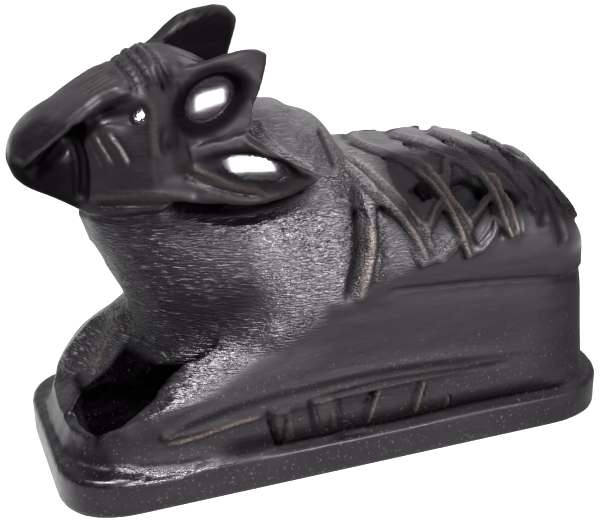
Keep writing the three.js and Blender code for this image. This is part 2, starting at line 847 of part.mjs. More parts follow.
// The whole figure
function bull() {
  const forelegs = nearLeg().add(farLeg()).intersect(legLimit());
  let whole = join([plinth(), trunk(), neck(), hump(), forelegs]);
  whole = cut(whole, [pocket()]);
  whole = join([whole, ...mirrored(strip)]);
  whole = cut(whole, mirrored(sideCuts).flat());
  whole = join([whole, ...[net, counterNet, girth].flatMap((bands) => mirrored(bands).flat())]);
  whole = cut(whole, mirrored(netPockets).flat());
  const head = cut(join([jaw(), nose(), ...harness(), ...mirrored(horn), ...mirrored(ear)]), [
    ...mirrored(hornBowl),
    ...mirrored(cheekHollows).flat(),
    ...mirrored(earHollow),
  ]);
  return join([whole, head, ...mirrored(earRidge)]);
}

function geometryOf(manifold) {
  const mesh = manifold.getMesh();
  const geometry = new THREE.BufferGeometry();
  const position = new THREE.BufferAttribute(new Float32Array(mesh.vertProperties), 3);
  geometry.setAttribute("position", position);
  geometry.setIndex(Array.from(mesh.triVerts));
  geometry.computeVertexNormals();
  return geometry;
}

const figure = new THREE.Mesh(geometryOf(bull()), WOOD);
figure.name = "nandi_bull";
figure.geometry.computeBoundingBox();
const bounds = figure.geometry.boundingBox;
figure.position.x = -(bounds.min.x + bounds.max.x) / 2;
figure.position.y = -(bounds.min.y + bounds.max.y) / 2;

const group = new THREE.Group();
group.add(figure);

export default group;
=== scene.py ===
"""A small carved black bull lying on its own plinth: the carving, its finish and a plain stage.

Lengths in the carving are in parts: one part is a sixtieth of the figure's length, one
millimetre here. The figure's frame has x from the head to the rump, y from the near flank to the
far one, and z up from the plinth's top.
"""

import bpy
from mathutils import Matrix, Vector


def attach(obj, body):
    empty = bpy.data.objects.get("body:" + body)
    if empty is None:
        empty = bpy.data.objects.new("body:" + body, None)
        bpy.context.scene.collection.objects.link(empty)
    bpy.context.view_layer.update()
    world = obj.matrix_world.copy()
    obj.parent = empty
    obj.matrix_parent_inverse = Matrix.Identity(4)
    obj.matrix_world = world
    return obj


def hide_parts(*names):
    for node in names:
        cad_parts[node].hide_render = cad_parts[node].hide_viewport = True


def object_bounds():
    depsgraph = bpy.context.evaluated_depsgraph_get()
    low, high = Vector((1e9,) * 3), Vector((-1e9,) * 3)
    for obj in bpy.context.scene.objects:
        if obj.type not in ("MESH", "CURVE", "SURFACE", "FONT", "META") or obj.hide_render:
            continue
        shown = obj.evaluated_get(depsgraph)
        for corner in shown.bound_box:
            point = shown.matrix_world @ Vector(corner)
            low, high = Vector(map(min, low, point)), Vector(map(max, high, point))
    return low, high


bl_info = {
    "name": "Carved Black Bull",
    "version": (1, 0, 0),
    "blender": (4, 5, 0),
    "location": "View3D > Sidebar > Bull",
    "description": "Carves a lying bull's details from its solid and sets it on a pale stage",
    "category": "Object",
}

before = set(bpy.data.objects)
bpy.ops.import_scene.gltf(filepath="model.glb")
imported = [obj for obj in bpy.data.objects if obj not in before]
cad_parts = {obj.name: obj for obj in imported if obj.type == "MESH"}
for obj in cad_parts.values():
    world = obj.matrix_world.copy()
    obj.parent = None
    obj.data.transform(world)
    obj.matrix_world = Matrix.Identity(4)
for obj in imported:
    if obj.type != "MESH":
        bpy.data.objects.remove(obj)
CAD_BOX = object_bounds()

import math

import bmesh
import bpy
import numpy as np
from bpy.props import FloatProperty, FloatVectorProperty, IntProperty, PointerProperty
from mathutils import Quaternion, Vector
from mathutils.kdtree import KDTree

SOLID = "nandi_bull"
PART = 0.001
PLINTH_REAR = 32
PLINTH_HEIGHT = 4
HEM = 16
SADDLE_HALF_WIDTH = 12

# The figure's origin in the frame: the middle of the plinth's length, on its top face
ORIGIN = Vector((CAD_BOX[1].x - PLINTH_REAR * PART, 0, PLINTH_HEIGHT * PART))

# The crest of the back from the side: [x, height]
CREST = [
    [-12, 26.5], [0, 27], [8, 27.1], [12, 27], [16, 26.6], [20, 25.6],
    [24, 23.5], [27, 20.1], [28.8, 17.3], [29.7, 16.2],
]

# The back's dome: how its section bulges up and across, and where it rounds into the rump
DOME_UP = 0.95
DOME_ACROSS = 0.8
RUMP_START = 22.7
RUMP_RADIUS = 7

# What one degree round the dome is on its chart, in parts
DEGREE_SPAN = 0.24


class CarvingSizes(bpy.types.PropertyGroup):
    """Sizes of the carving and of its finish"""

    grid: FloatProperty(
        name="Grid",
        description="Spacing of the surface's points while it is carved",
        default=0.26 * PART,
        min=0.2 * PART,
        max=1.0 * PART,
        unit="LENGTH",
    )
    softening: IntProperty(
        name="Softening",
        description="How many passes round the facets between the sharp arrises",
        default=120,
        min=0,
        max=400,
    )
    triangles: IntProperty(
        name="Triangles",
        description="How many triangles the carved surface keeps, most where it is curved",
        default=185000,
        min=20000,
        max=199000,
    )
    arris_reach: FloatProperty(
        name="Arris reach",
        description="How far from a sharp arris the softening stays weak",
        default=0.9 * PART,
        min=0.1 * PART,
        max=3 * PART,
        unit="LENGTH",
    )
    cut_share: FloatProperty(
        name="Cut depth",
        description="Share of each knife cut's full depth",
        default=1.0,
        min=0,
        max=1.5,
        subtype="FACTOR",
    )
    stria_pitch: FloatProperty(
        name="File mark pitch",
        description="Distance between the fine file marks",
        default=0.17 * PART,
        min=0.05 * PART,
        max=1.0 * PART,
        unit="LENGTH",
    )


AS_COLOUR = dict(size=3, min=0, max=1, subtype="COLOR")


class WoodColours(bpy.types.PropertyGroup):
    """Colours of the wood and the floor"""

    black: FloatVectorProperty(
        name="Black",
        description="The stained wood in the dark of the carving",
        default=(0.0013, 0.0009, 0.0014),
        **AS_COLOUR,
    )
    brown: FloatVectorProperty(
        name="Brown",
        description="The wood's warmer streaks",
        default=(0.0065, 0.0045, 0.0065),
        **AS_COLOUR,
    )
    # The wear colour: bare wood on rubbed ridges, and also a painted highlight along edges that
    # stand out
    wear_and_edge_light: FloatVectorProperty(
        name="Worn edge",
        description="Bare wood on rubbed ridges",
        default=(0.075, 0.056, 0.041),
        **AS_COLOUR,
    )
    dust: FloatVectorProperty(
        name="Dust",
        description="Pale specks and scratches",
        default=(0.14, 0.14, 0.14),
        **AS_COLOUR,
    )
    floor: FloatVectorProperty(
        name="Floor",
        description="The pale floor and backdrop",
        default=(0.93, 0.925, 0.935),
        **AS_COLOUR,
    )


# The carved surface

# Places where the solid's arrises are softer on the carving: [low corner, high corner, share]
SOFT_PLACES = [
    [[-18, -14, 10], [2, -7, 19], 1],
    [[5, -14, 12.2], [22, -10, 15.4], 1],
    [[5, 10, 12.2], [22, 14, 15.4], 1],
    [[-24, -8, 32.6], [-19.8, -3, 36], 1],
    [[-17, 9.5, -0.2], [-9, 15, 10], 1],
    [[-11, -9, 37], [-4, 9, 46], 0.25],
    [[-33, -9, 24], [-27, 9, 36], 0.3],
    [[0, -14, 12], [22, 14, 22.5], 0.2],
    [[2, -12, 23], [31, 12, 30], 0.08],
]
SHARP_TURN = math.radians(30)
SLIVER_AREA = 0.004
ARRIS_SAMPLE = 0.33
ARRIS_SOFTNESS = 0.06
FOOT_SOFTNESS = 0.25
FOOT_HEIGHT = 0.5
SOFTNESS_STEPS = 20
UNEVENNESS = 0.06


def linked(name, data):
    thing = bpy.data.objects.new(name, data)
    bpy.context.scene.collection.objects.link(thing)
    return thing


def baked(piece):
    """The piece's mesh with its modifiers applied."""
    graph = bpy.context.evaluated_depsgraph_get()
    mesh = bpy.data.meshes.new_from_object(piece.evaluated_get(graph))
    piece.modifiers.clear()
    old = piece.data
    piece.data = mesh
    bpy.data.meshes.remove(old)
    return mesh


def points_of(mesh):
    """The mesh's points and normals, in the figure's parts."""
    count = len(mesh.vertices)
    points = np.empty(count * 3, np.float32)
    normals = np.empty(count * 3, np.float32)
    mesh.vertices.foreach_get("co", points)
    mesh.vertex_normals.foreach_get("vector", normals)
    points = (points.reshape(-1, 3) - np.array(ORIGIN)) / PART
    return points.astype(float), normals.reshape(-1, 3).astype(float)


def arris_tree(mesh):
    """A search tree over points sampled along the solid's sharp arrises."""
    sharp = []
    bm = bmesh.new()
    bm.from_mesh(mesh)
    for edge in bm.edges:
        if len(edge.link_faces) != 2 or edge.calc_face_angle() < SHARP_TURN:
            continue
        if min(face.calc_area() for face in edge.link_faces) < SLIVER_AREA * PART * PART:
            continue
        a, b = (v.co for v in edge.verts)
        steps = max(1, math.ceil((b - a).length / (ARRIS_SAMPLE * PART)))
        sharp.extend(a.lerp(b, i / steps) for i in range(steps + 1))
    bm.free()
    tree = KDTree(len(sharp))
    for i, point in enumerate(sharp):
        tree.insert(point, i)
    tree.balance()
    return tree


def smooth_step(low, high, value):
    share = np.clip((value - low) / (high - low), 0, 1)
    return share * share * (3 - 2 * share)


def within(points, low, high, blur=1.0):
    """1 inside a box of the figure, fading to 0 over blur parts outside it."""
    outside = np.maximum(np.array(low) - points, points - np.array(high))
    return 1 - smooth_step(0, blur, outside.max(axis=1))


def saddle_turn(points):
    """Degrees round the back's dome: 0 at the hem, 90 at the crest."""
    x, y, z = points.T
    over = np.maximum(0, (z - HEM) / (np.interp(x, *zip(*CREST)) - HEM)) ** (1 / DOME_UP)
    past = np.maximum(0, x - RUMP_START)
    rounding = RUMP_RADIUS - np.sqrt(np.maximum(0, RUMP_RADIUS**2 - past**2))
    across = (np.abs(y) / np.maximum(SADDLE_HALF_WIDTH - rounding, 1)) ** (1 / DOME_ACROSS)
    return np.degrees(np.arctan2(over, across))


def drop_crumbs(mesh):
    """Deletes the small loose shells and leaves the largest one."""
    bm = bmesh.new()
    bm.from_mesh(mesh)
    left = set(bm.verts)
    shells = []
    while left:
        shell = []
        reach = [left.pop()]
        while reach:
            vert = reach.pop()
            shell.append(vert)
            for edge in vert.link_edges:
                other = edge.other_vert(vert)
                if other in left:
                    left.remove(other)
                    reach.append(other)
        shells.append(shell)
    shells.sort(key=len)
    for shell in shells[:-1]:
        bmesh.ops.delete(bm, geom=shell, context="VERTS")
    bm.to_mesh(mesh)
    bm.free()


def flat_underside(mesh):
    """Makes the plinth's underside one flat face."""
    bm = bmesh.new()
    bm.from_mesh(mesh)
    level = min(v.co.z for v in bm.verts)
    low = {v for v in bm.verts if v.co.z < level + UNEVENNESS * PART}
    bottom = [f for f in bm.faces if all(v in low for v in f.verts)]
    bmesh.ops.dissolve_faces(bm, faces=bottom, use_verts=False)
    bm.to_mesh(mesh)
    bm.free()


def level_underside(mesh):
    """Brings the underside's points, after the rounding, back to the floor."""
    widest = max(mesh.polygons, key=lambda face: len(face.vertices))
    for i in widest.vertices:
        mesh.vertices[i].co.z = CAD_BOX[0].z
    mesh.update()


def soften(piece, tree, sizes):
    """Rounds the facets and leaves the arrises crisp, but for the softer places."""
    mesh = piece.data
    near = [tree.find(v.co)[2] / sizes.arris_reach for v in mesh.vertices]
    weight = smooth_step(0.25, 1.0, np.array(near)) * (1 - ARRIS_SOFTNESS) + ARRIS_SOFTNESS
    points, _ = points_of(mesh)
    for low, high, share in SOFT_PLACES:
        weight = np.maximum(weight, share * within(points, low, high))
    foot = points[:, 2] < FOOT_HEIGHT - PLINTH_HEIGHT
    weight = np.maximum(weight, FOOT_SOFTNESS * foot)
    group = piece.vertex_groups.new(name="soft")
    for step in range(1, SOFTNESS_STEPS + 1):
        chosen = np.nonzero(np.round(weight * SOFTNESS_STEPS) == step)[0]
        group.add([int(i) for i in chosen], step / SOFTNESS_STEPS, "REPLACE")
    rounding = piece.modifiers.new("Rounding", "SMOOTH")
    rounding.factor = 0.5
    rounding.iterations = sizes.softening
    rounding.vertex_group = group.name
    baked(piece)
    piece.vertex_groups.clear()


def carved_surface(sizes):
    """The solid's copy as an even skin, rounded between its arrises."""
    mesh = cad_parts[SOLID].data.copy()
    bm = bmesh.new()
    bm.from_mesh(mesh)
    bmesh.ops.remove_doubles(bm, verts=bm.verts, dist=1e-7)
    bm.to_mesh(mesh)
    bm.free()
    mesh.materials.clear()
    tree = arris_tree(mesh)
    piece = linked("carved_bull", mesh)
    skin = piece.modifiers.new("Skin", "REMESH")
    skin.mode = "VOXEL"
    skin.voxel_size = sizes.grid
    baked(piece)
    drop_crumbs(piece.data)
    flat_underside(piece.data)
    soften(piece, tree, sizes)
    level_underside(piece.data)
    return piece


def thinned(piece, triangles):
    """Drops the points that the flatter places can spare."""
    piece.data.calc_loop_triangles()
    count = len(piece.data.loop_triangles)
    if count > triangles:
        thinning = piece.modifiers.new("Thinning", "DECIMATE")
        thinning.ratio = triangles / count
        baked(piece)


# Knife cuts

# The painted shade mark darkens the colour where shade falls; the wear mark also paints highlights
# along edges that stand out
MARKS = ("polish", "filed", "wear_and_edge_light", "dust", "painted_shade", "matte", "glint")

# The far side is carved like the near one and plainer.
FAR_SHARE = 0.65

# How many passes settle the surface that the recesses and raised edges are measured from
SETTLING = 60

# A lip across its width, raised on the left, with a steep drop on the right: [place, height]
LIP = [
    [-1, 0], [-0.7, -0.4], [-0.4, -0.8], [-0.15, -0.5], [0.15, 0.7], [0.4, 0.9], [0.7, 0.4], [1, 0],
]

# Boxes of the figure: low corner, high corner and blur
ZONES = {
    "back": ([4, -14, 17], [33, 14, 30], 2),
    "between_horns": ([-17, -4, 36], [-10, 4, 44], 0.5),
    "breast": ([-24, -13, 8.5], [-5, 13, 24.5], 2),
    "cheek": ([-27, -9, 24], [-16.5, 9, 33.5], 1),
    "ear": ([-18, -14, 25], [-3.5, 14, 33.5], 0.5),
    "ear_face": ([-16, -14, 26], [-4, 14, 33], 1),
    "ear_foot": ([-14, -14, 25], [-6, 14, 27.2], 0.6),
    "far_leg": ([-28, 1, 3], [-17, 9, 14], 1),
    "flank": ([-4, -13, 15], [32, 13, 30], 1.2),
    "horn": ([-18.5, -14, 32.4], [-8, 14, 42], 0.5),
    "horn_face": ([-16, -14, 33], [-5, 14, 43], 1),
    "horns": ([-16, -14, 30], [-5, 14, 43], 1),
    "hump_side": ([-9, -14, 26], [0.5, 14, 33], 0.3),
    "hump_top": ([-9, -14, 27], [1, 14, 34], 1),
    "leg": ([-23, -13, 4.5], [-8, 13, 12], 1),
    "mouth_of_legs": ([-27.5, -9, 0.5], [-15, 0, 7.5], 1.2),
    "mouth_rim": ([-31, -9, 1.2], [-20.5, 1, 8], 0.5),
    "mouth_sill": ([-27.5, -9, 0.5], [-15, 3, 3.6], 1.2),
    "muzzle": ([-33, -9, 24], [-27, 9, 30], 1.5),
    "neck": ([-10, -9.5, 15], [2, 9.5, 27], 1.5),
    "neck_side": ([-10, -14, 15], [-2, 14, 23], 2),
    "nose": ([-33, -9, 35], [-16, 9, 42], 1),
    "poll": ([-17, -4.5, 37], [-10, 4.5, 44], 1),
    "smooth_wall": ([-26, -15, 0.8], [33, 15, 14.5], 1.5),
    "temple": ([-19.4, -8, 27], [-15.8, 8, 38], 0.8),
    "under_ear": ([-18, -14, 24.5], [-3, 14, 28], 0.8),
}

# How matte whole places are, and how much shade is painted on them
MATTE_ZONES = {"nose": 1, "temple": 1, "horns": 0.5, "under_ear": 0.8, "back": 0.7}
PAINTED_SHADE_ZONES = {
    "mouth_of_legs": 1, "mouth_sill": 1, "muzzle": 0.9, "temple": 0.5,
    "cheek": 0.35, "poll": 0.35, "ear_foot": 0.35,
}

# Where the rear of the head and its underside end, for the head's own cuts
HEAD_REAR = -16.5
HEAD_FOOT = 24

# How far out from the middle the ear starts, and where it is whole
EAR_ROOT = (8.2, 9)

# Where a polished hollow's floor, its polish and the shade painted round its rim fade, as shares of
# its radius
BOWL_EDGE = (0.84, 1.06)
BOWL_SHINE = (0.74, 0.82)
BOWL_RIM = (1.1, 1.7)

# Cuts of the head's side, in x and height
CHEEK_CUTS = [
    dict(path=[
             [-31.6, 29.4], [-29.6, 31.5], [-27.2, 33.4], [-25, 35], [-22.8, 36.2], [-20.6, 36.8]],
         width=3, depth=0.75, kind="lip"),
    dict(path=[[-31.2, 28.7], [-29.4, 30.6], [-27.4, 32.4], [-25.4, 33.9]], width=2.4, depth=0.4),
    dict(path=[[-26.2, 34.4], [-26.5, 32.4], [-26.2, 30], [-26.5, 26]], width=1.8, depth=0.65),
    dict(path=[[-25.4, 33.2], [-24.9, 31.7], [-24.1, 29.6]], width=0.5, depth=0.1),
    dict(path=[[-25, 33.4], [-24.4, 31.8], [-23.6, 30]],
         width=0.4, depth=0.07, kind="ridge", wear_and_edge_light=0.15),
    dict(path=[[-24.6, 33.3], [-23.9, 31.7], [-23.1, 30]], width=0.5, depth=0.1),
    dict(path=[[-23.7, 33.2], [-22.8, 31.8], [-22.1, 30]],
         width=0.45, depth=0.12, kind="ridge", wear_and_edge_light=0.4),
    dict(path=[[-23.2, 33], [-22.3, 31.6], [-21.7, 30.2]], width=0.6, depth=0.12),
    dict(path=[[-24.2, 35.3], [-22.8, 34.9], [-21, 34.9], [-19.6, 35.2]], width=2.6, depth=0.45),
    dict(path=[[-19.4, 36.3], [-19.4, 33.8], [-19.5, 30.4]],
         width=1.5, depth=0.16, kind="ridge", wear_and_edge_light=0.1),
    dict(path=[[-17.3, 39.4], [-17.3, 36.5], [-17.4, 33], [-17.6, 28]], width=3.8, depth=0.4),
    dict(path=[[-26.2, 26.9], [-22, 27.3], [-18, 27.2], [-14.5, 26.4]],
         width=1.2, depth=0.2, kind="ridge", wear_and_edge_light=0.1, polish=0.1),
    dict(path=[[-26, 26.1], [-22, 26.3], [-18, 26.1], [-15.5, 25.6]], width=0.9, depth=0.35),
]

# The bridle's cross lines and short pieces, and the nose's marks, in x and the way down the brow
BRIDLE_LINES = [-21.2, -20.1, -19.1, -18.2]
BRIDLE_REACH = (21.6, 29)
BRIDLE_PIECES = [22.6, 23.7, 24.8, 25.9, 27.1]
NOSE_MARKS = [
    [[-25.2, 23.6], [-23.6, 24.2], [-21.9, 25]],
    [[-24.7, 23], [-23.2, 23.5], [-21.8, 23.9]],
    [[-24, 24.8], [-22.9, 25.3], [-21.9, 25.7]],
]

# Cuts of the horn's outer face, in x and height
HORN_CUTS = [
    dict(path=[[-17, 37.9], [-14, 38.2], [-11.6, 38.6], [-9.6, 38.9]], width=1.0, depth=0.18),
]

# Polished hollows, in x and height
HORN_BOWL = dict(
    centre=[-13.6, 35.6], radii=[3.4, 2.2], turn=32, depth=0.6,
    curves=[11.5, 8], slope=[0.02, -0.27], painted_rim_shade=0.9,
)
EAR_BOWL = dict(
    centre=[-10.4, 29.2], radii=[4.3, 1.6], turn=-14, depth=0.4,
    curves=[15, 9], slope=[0.06, -0.36], painted_rim_shade=0.7,
)
EYE = dict(
    centre=[-20.4, 34.6], radii=[0.9, 0.6], turn=38, depth=0.0,
    curves=[8, 8], slope=[0.03, -0.3], painted_rim_shade=0.4,
)

# Grooves over the poll between the horns, in x and y
POLL_CUTS = [
    [[-16.8, -2.2], [-14, -2.8], [-10.5, -3.8]],
    [[-16.6, -1.2], [-14, -1.5], [-10.5, -1.9]],
    [[-16.6, -0.2], [-14, -0.1], [-10.5, 0.1]],
    [[-16.6, 0.8], [-14, 1.3], [-10.5, 2]],
    [[-16.8, 1.9], [-14, 2.7], [-10.5, 3.8]],
]

# Where the fine marks over the horn's inner face start and end, in x and height
HORN_FAN_FOOT = [-15.6, 38.9]
HORN_FAN_ENDS = [
    [-12.6, 42], [-11, 42.4], [-9.6, 42.4], [-8.4, 42], [-7.4, 41.2], [-6.9, 40.2], [-6.9, 39.2],
]

# The shadow cut under the ear and the jaw, in x and height
NECK_CUTS = [
    dict(path=[[-19.5, 25.9], [-15, 24.9], [-11.8, 24.5], [-7.7, 25], [-3.2, 26.8]],
         width=2.6, depth=1.1),
]

# Where the filed breast and leg end above the smooth wall, in x and height
FILED_EDGE = [
    [-26, 2.6], [-20, 5.4], [-13.3, 7.8], [-8.3, 9.9], [-6.1, 11.3], [-3, 12.4], [-0.5, 13.5],
    [1.3, 15.4], [4, 16.3], [8, 17.4], [12, 18], [15, 19],
]

# The foreleg's lit crown, and the hollow behind it with shade painted in it, in x and height
BREAST_CUTS = [
    dict(path=[[-24.5, 4.4], [-20, 6.6], [-16, 8.3], [-13.3, 9.6], [-10.3, 11.7], [-8, 13.4]],
         width=3.4, depth=0.35, kind="ridge"),
    dict(path=[[-24, 9], [-19.5, 11.4], [-15, 13.8], [-12, 15.2], [-9.6, 16]],
         width=6.5, depth=0.3),
]

# The edge of the far foreleg, in x and height
FORELEG_EDGE = [[-21.6, 10.4], [-22.4, 9.5], [-23.4, 8.2], [-24.3, 7], [-25, 6], [-25.7, 5]]

# The filed band on the plinth's top edge, in x and y
SKIRT_BAND = [[-26.5, -12.2], [-23.4, -13.4], [-20.4, -14], [-16, -14.2]]

# Cuts of the ear, in x and height
EAR_CUTS = [
    dict(path=[[-11.8, 32.6], [-9.6, 30.9], [-7, 29.6], [-4.4, 28.4]],
         width=0.9, depth=0.2, kind="ridge", wear_and_edge_light=0.1),
    dict(path=[[-16.8, 30.1], [-15, 29.1], [-12.6, 27.9], [-9.6, 27]],
         width=1.3, depth=0.35, kind="ridge", wear_and_edge_light=0.3),
    dict(path=[[-17.2, 28.9], [-15, 28], [-12.2, 27.1], [-9.6, 26.7]],
         width=0.9, depth=0.4, polish=0.3),
    dict(path=[[-16.4, 27.2], [-12.2, 26.3], [-8.9, 26.6], [-5.6, 27.6]],
         width=1.2, depth=0.2, kind="ridge", wear_and_edge_light=0.05),
    dict(path=[[-17.1, 29.2], [-16.4, 28.7], [-15.7, 28.2], [-14.8, 27.8]],
         width=0.5, depth=0.16, kind="ridge", wear_and_edge_light=0.6, polish=0.6),
]

# Cuts of the wall and of its hem, in x and height
WALL_CUTS = [
    dict(path=[
             [-23, 2.9], [-18, 4.6], [-12.7, 5.5], [-7.3, 5.9], [-1.7, 6.2], [4, 6.2], [9.9, 5.9],
             [16.1, 5.3], [22, 4.8]],
         width=1.9, depth=0.1, kind="lip"),
    dict(path=[
             [-23, 2.7], [-18, 4.2], [-12.7, 5.1], [-7.3, 5.5], [-1.7, 5.8], [4, 5.8], [9.9, 5.5],
             [16.1, 4.9]],
         width=1.6, depth=0.3),
    dict(path=[[-21.5, 2.3], [-18, 2.9], [-14.5, 3.7], [-11.4, 4]],
         width=0.7, depth=0.22, kind="ridge", wear_and_edge_light=0.9),
    dict(path=[[-7, 4.6], [-4.1, 4.7], [1.6, 5], [6.8, 4.9], [12.3, 4.6], [18, 4.2]],
         width=1.0, depth=0.35),
    dict(path=[[-11.1, 4.5], [-10.5, 2.4], [-9.9, 0.3]], width=0.8, depth=0.4),
    dict(path=[[-9.4, 4.3], [-9.1, 2.4], [-8.9, 0.4]],
         width=1.9, depth=0.22, kind="pad", wear_and_edge_light=0.12),
    dict(path=[[-6.4, 4.8], [-6.1, 2.8], [-5.7, 0.4]], width=0.9, depth=0.45),
    dict(path=[[-4.6, 4.8], [-4.3, 2.6], [-4.1, 0.5]],
         width=2.1, depth=0.25, kind="pad", wear_and_edge_light=0.12),
    dict(path=[[-2.9, 4.2], [-2.9, 2.4], [-2.9, 0.6]], width=0.7, depth=0.3),
    dict(path=[[1.2, 4.4], [0.6, 3.1], [-0.6, 0.5]], width=0.8, depth=0.35),
    dict(path=[[1.8, 4.4], [1.1, 2.7], [0.1, 0.5]], width=0.6, depth=0.18, kind="ridge", wear_and_edge_light=0.6),
    dict(path=[[6.4, 4.4], [5.9, 2.7], [5, 0.6]], width=0.8, depth=0.35),
    dict(path=[[7, 4.4], [6.5, 2.7], [5.6, 0.6]], width=0.6, depth=0.18, kind="ridge", wear_and_edge_light=0.6),
    dict(path=[[9.8, 2], [9.3, 0.5]], width=0.6, depth=0.2, kind="ridge", wear_and_edge_light=0.4),
    dict(path=[[-13, 0.2], [-5, 0.2], [0, 0.2], [5, 0.2], [12, 0.4], [20, 0.3], [28, 0.1]],
         width=1.7, depth=0.6),
    # A band of shade painted along the wall's foot, with no cut
    dict(path=[[-19, 0.7], [-13, 0.8], [-5, 0.8], [5, 0.8], [15, 0.8], [26, 0.8]],
         width=4.4, depth=0, shade=0.8),
    dict(path=[[2.2, 14.9], [8, 14.5], [17, 13.8], [26.5, 12.6]], width=0.8, depth=0.3),
]

# The girth strap down the flank, in x and height
STRAP_CUTS = [
    dict(path=[[1.4, 22.4], [1, 19.7], [0.3, 17.1], [-0.1, 14]],
         width=1.8, depth=0.34, kind="ridge", wear_and_edge_light=0.6),
    dict(path=[[1, 26.6], [0.5, 24.2], [0, 21], [-0.6, 18.5], [-1.3, 16], [-1.6, 14]],
         width=1.3, depth=0.5),
    dict(path=[[3.4, 26], [2.8, 23.8], [2.4, 22], [1.9, 19.5], [1.3, 17], [1, 14.8]],
         width=0.8, depth=0.3),
]

# Cuts and fine hatching of the hump's side, in x and height
HUMP_CUTS = [
    dict(path=[[-7.9, 32.6], [-7.6, 31.4], [-5.8, 29.4], [-3, 27.7]],
         width=1.3, depth=0.3, kind="ridge", polish=0.2),
    dict(path=[[-1.5, 30.8], [-1.3, 29.2], [-1, 27.2]], width=1.1, depth=0.4),
]
HUMP_HATCH = [
    [[-4.6 + 0.45 * i, 31.2 - 0.12 * i], [-3.9 + 0.38 * i, 29 - 0.2 * i]] for i in range(7)
]

# The net over the back, in x and degrees round the dome: paired ridges, furrows and cross ties
NET_RIDGES = [
    [[0.8, 74], [3, 49], [4, 41], [5.7, 25], [7.5, 6]],
    [[1.6, 78], [4, 54], [5.4, 42], [7.1, 28], [8.4, 8]],
    [[8.2, 62], [9.6, 45], [10.6, 32], [11.6, 15], [12.4, 3]],
    [[9.2, 63], [10.8, 40], [11.9, 30], [12.8, 18]],
    [[15.2, 56], [16.1, 40], [16.5, 27], [17.5, 11]],
    [[16.2, 57], [17.4, 38], [17.9, 24], [18.1, 13]],
]
NET_FURROWS = [
    [[1.2, 76], [3.4, 51], [4.9, 37], [6.4, 26], [7.9, 8]],
    [[8.8, 60], [10.2, 43], [11.2, 31], [12.2, 16]],
    [[15.8, 56], [16.8, 39], [17.2, 26], [17.8, 13]],
    [[0.1, 70], [2.2, 47], [4.4, 29], [6.6, 8]],
    [[7.4, 60], [8.9, 44], [9.9, 30], [10.8, 16], [11.6, 3]],
    [[14.4, 54], [15.2, 40], [15.6, 28], [16.6, 12]],
    [[17.2, 57], [18.3, 39], [18.7, 26], [18.7, 14]],
]
NET_TIES = [
    [[8, 6], [9.4, 7], [10.6, 11], [11.4, 18]],
    [[13, 8], [14.5, 13], [15.4, 21], [15.8, 29]],
    [[7.8, 24], [8.4, 31], [9.4, 37], [10.4, 42]],
    [[11.4, 19], [12.5, 25], [14.3, 32], [15.6, 38]],
]

# The shingle plates' free edges along the crest, in x and degrees: [stations, depth]
PLATE_EDGES = [
    [[[3.6, 92], [4.8, 80], [6.6, 70], [8.7, 60], [10.2, 53]], 0.27],
    [[[8.2, 92], [11, 80], [13.4, 70], [14.4, 62]], 0.27],
    [[[13.2, 92], [15.4, 77], [17, 62]], 0.3],
    [[[18.7, 92], [20.5, 79], [21.6, 66]], 0.4],
    [[[23.2, 92], [24.4, 78], [25.4, 64]], 0.4],
]

# The gaps between the rearmost plates, in x and height
PLATE_GAPS = [
    [[23.4, 25.6], [20.8, 25], [19.9, 24], [20, 22.8], [20.3, 21.6]],
    [[24.2, 23.2], [22.7, 22.5], [21.8, 21.7], [21.8, 20.5], [22, 19]],
    [[25.4, 21.8], [24.2, 21.3], [23.8, 20], [23.9, 18.4], [24.3, 16.6]],
]


def side_chart(points):
    return points[:, [0, 2]]


def top_chart(points):
    return points[:, [0, 1]]


def saddle_chart(points):
    """x along, and the way round the dome in parts."""
    return np.column_stack([points[:, 0], saddle_turn(points) * DEGREE_SPAN])


def over_net(path):
    """A path in x and degrees as one on the saddle's chart."""
    return [[x, degrees * DEGREE_SPAN] for x, degrees in path]


def brow_chart(points):
    """x along, and the way down over the brow from the head's middle to its side."""
    return np.column_stack([points[:, 0], 0.7 * (points[:, 2] - np.abs(points[:, 1]))])


def rounded_path(path, steps=6):
    """A path through the given stations without corners."""
    stations = np.array(path, float)
    padded = np.vstack([2 * stations[0] - stations[1], stations, 2 * stations[-1] - stations[-2]])
    made = []
    for i in range(1, len(padded) - 2):
        before, here, there, after = padded[i - 1 : i + 3]
        pull = there - before
        bend = 2 * before - 5 * here + 4 * there - after
        twist = 3 * here - before - 3 * there + after
        for t in np.linspace(0, 1, steps, endpoint=False):
            made.append(0.5 * (2 * here + pull * t + bend * t**2 + twist * t**3))
    return np.vstack([made, stations[-1]])


def from_path(flat, path):
    """How far each flat point is from the path, signed to the path's left, and its share along."""
    best = np.full(len(flat), 1e9)
    side = np.zeros(len(flat))
    share = np.zeros(len(flat))
    lengths = np.linalg.norm(np.diff(path, axis=0), axis=1)
    total = lengths.sum()
    done = 0
    for a, b, length in zip(path, path[1:], lengths):
        if length < 1e-9:
            continue
        along = (b - a) / length
        offset = flat - a
        t = np.clip(offset @ along, 0, length)
        away = offset - t[:, None] * along
        distance = np.hypot(*away.T)
        nearer = distance < best
        best[nearer] = distance[nearer]
        cross = along[0] * offset[:, 1] - along[1] * offset[:, 0]
        side[nearer] = np.sign(cross[nearer])
        share[nearer] = ((done + t) / total)[nearer]
        done += length
    return best * side, share


def profile(kind, place):
    """Height of a cut or ridge at a place across its width, from -1 to 1."""
    inside = np.clip(1 - np.abs(place), 0, 1)
    rounded = (1 - (1 - inside) ** 2) ** 2
    if kind == "groove":
        return -rounded
    if kind == "ridge":
        return rounded
    if kind == "lip":
        return np.interp(place, *zip(*LIP))
    if kind == "pad":  # level on top between steep sides
        return smooth_step(0, 0.3, inside)
    raise ValueError(f"no profile named {kind}")


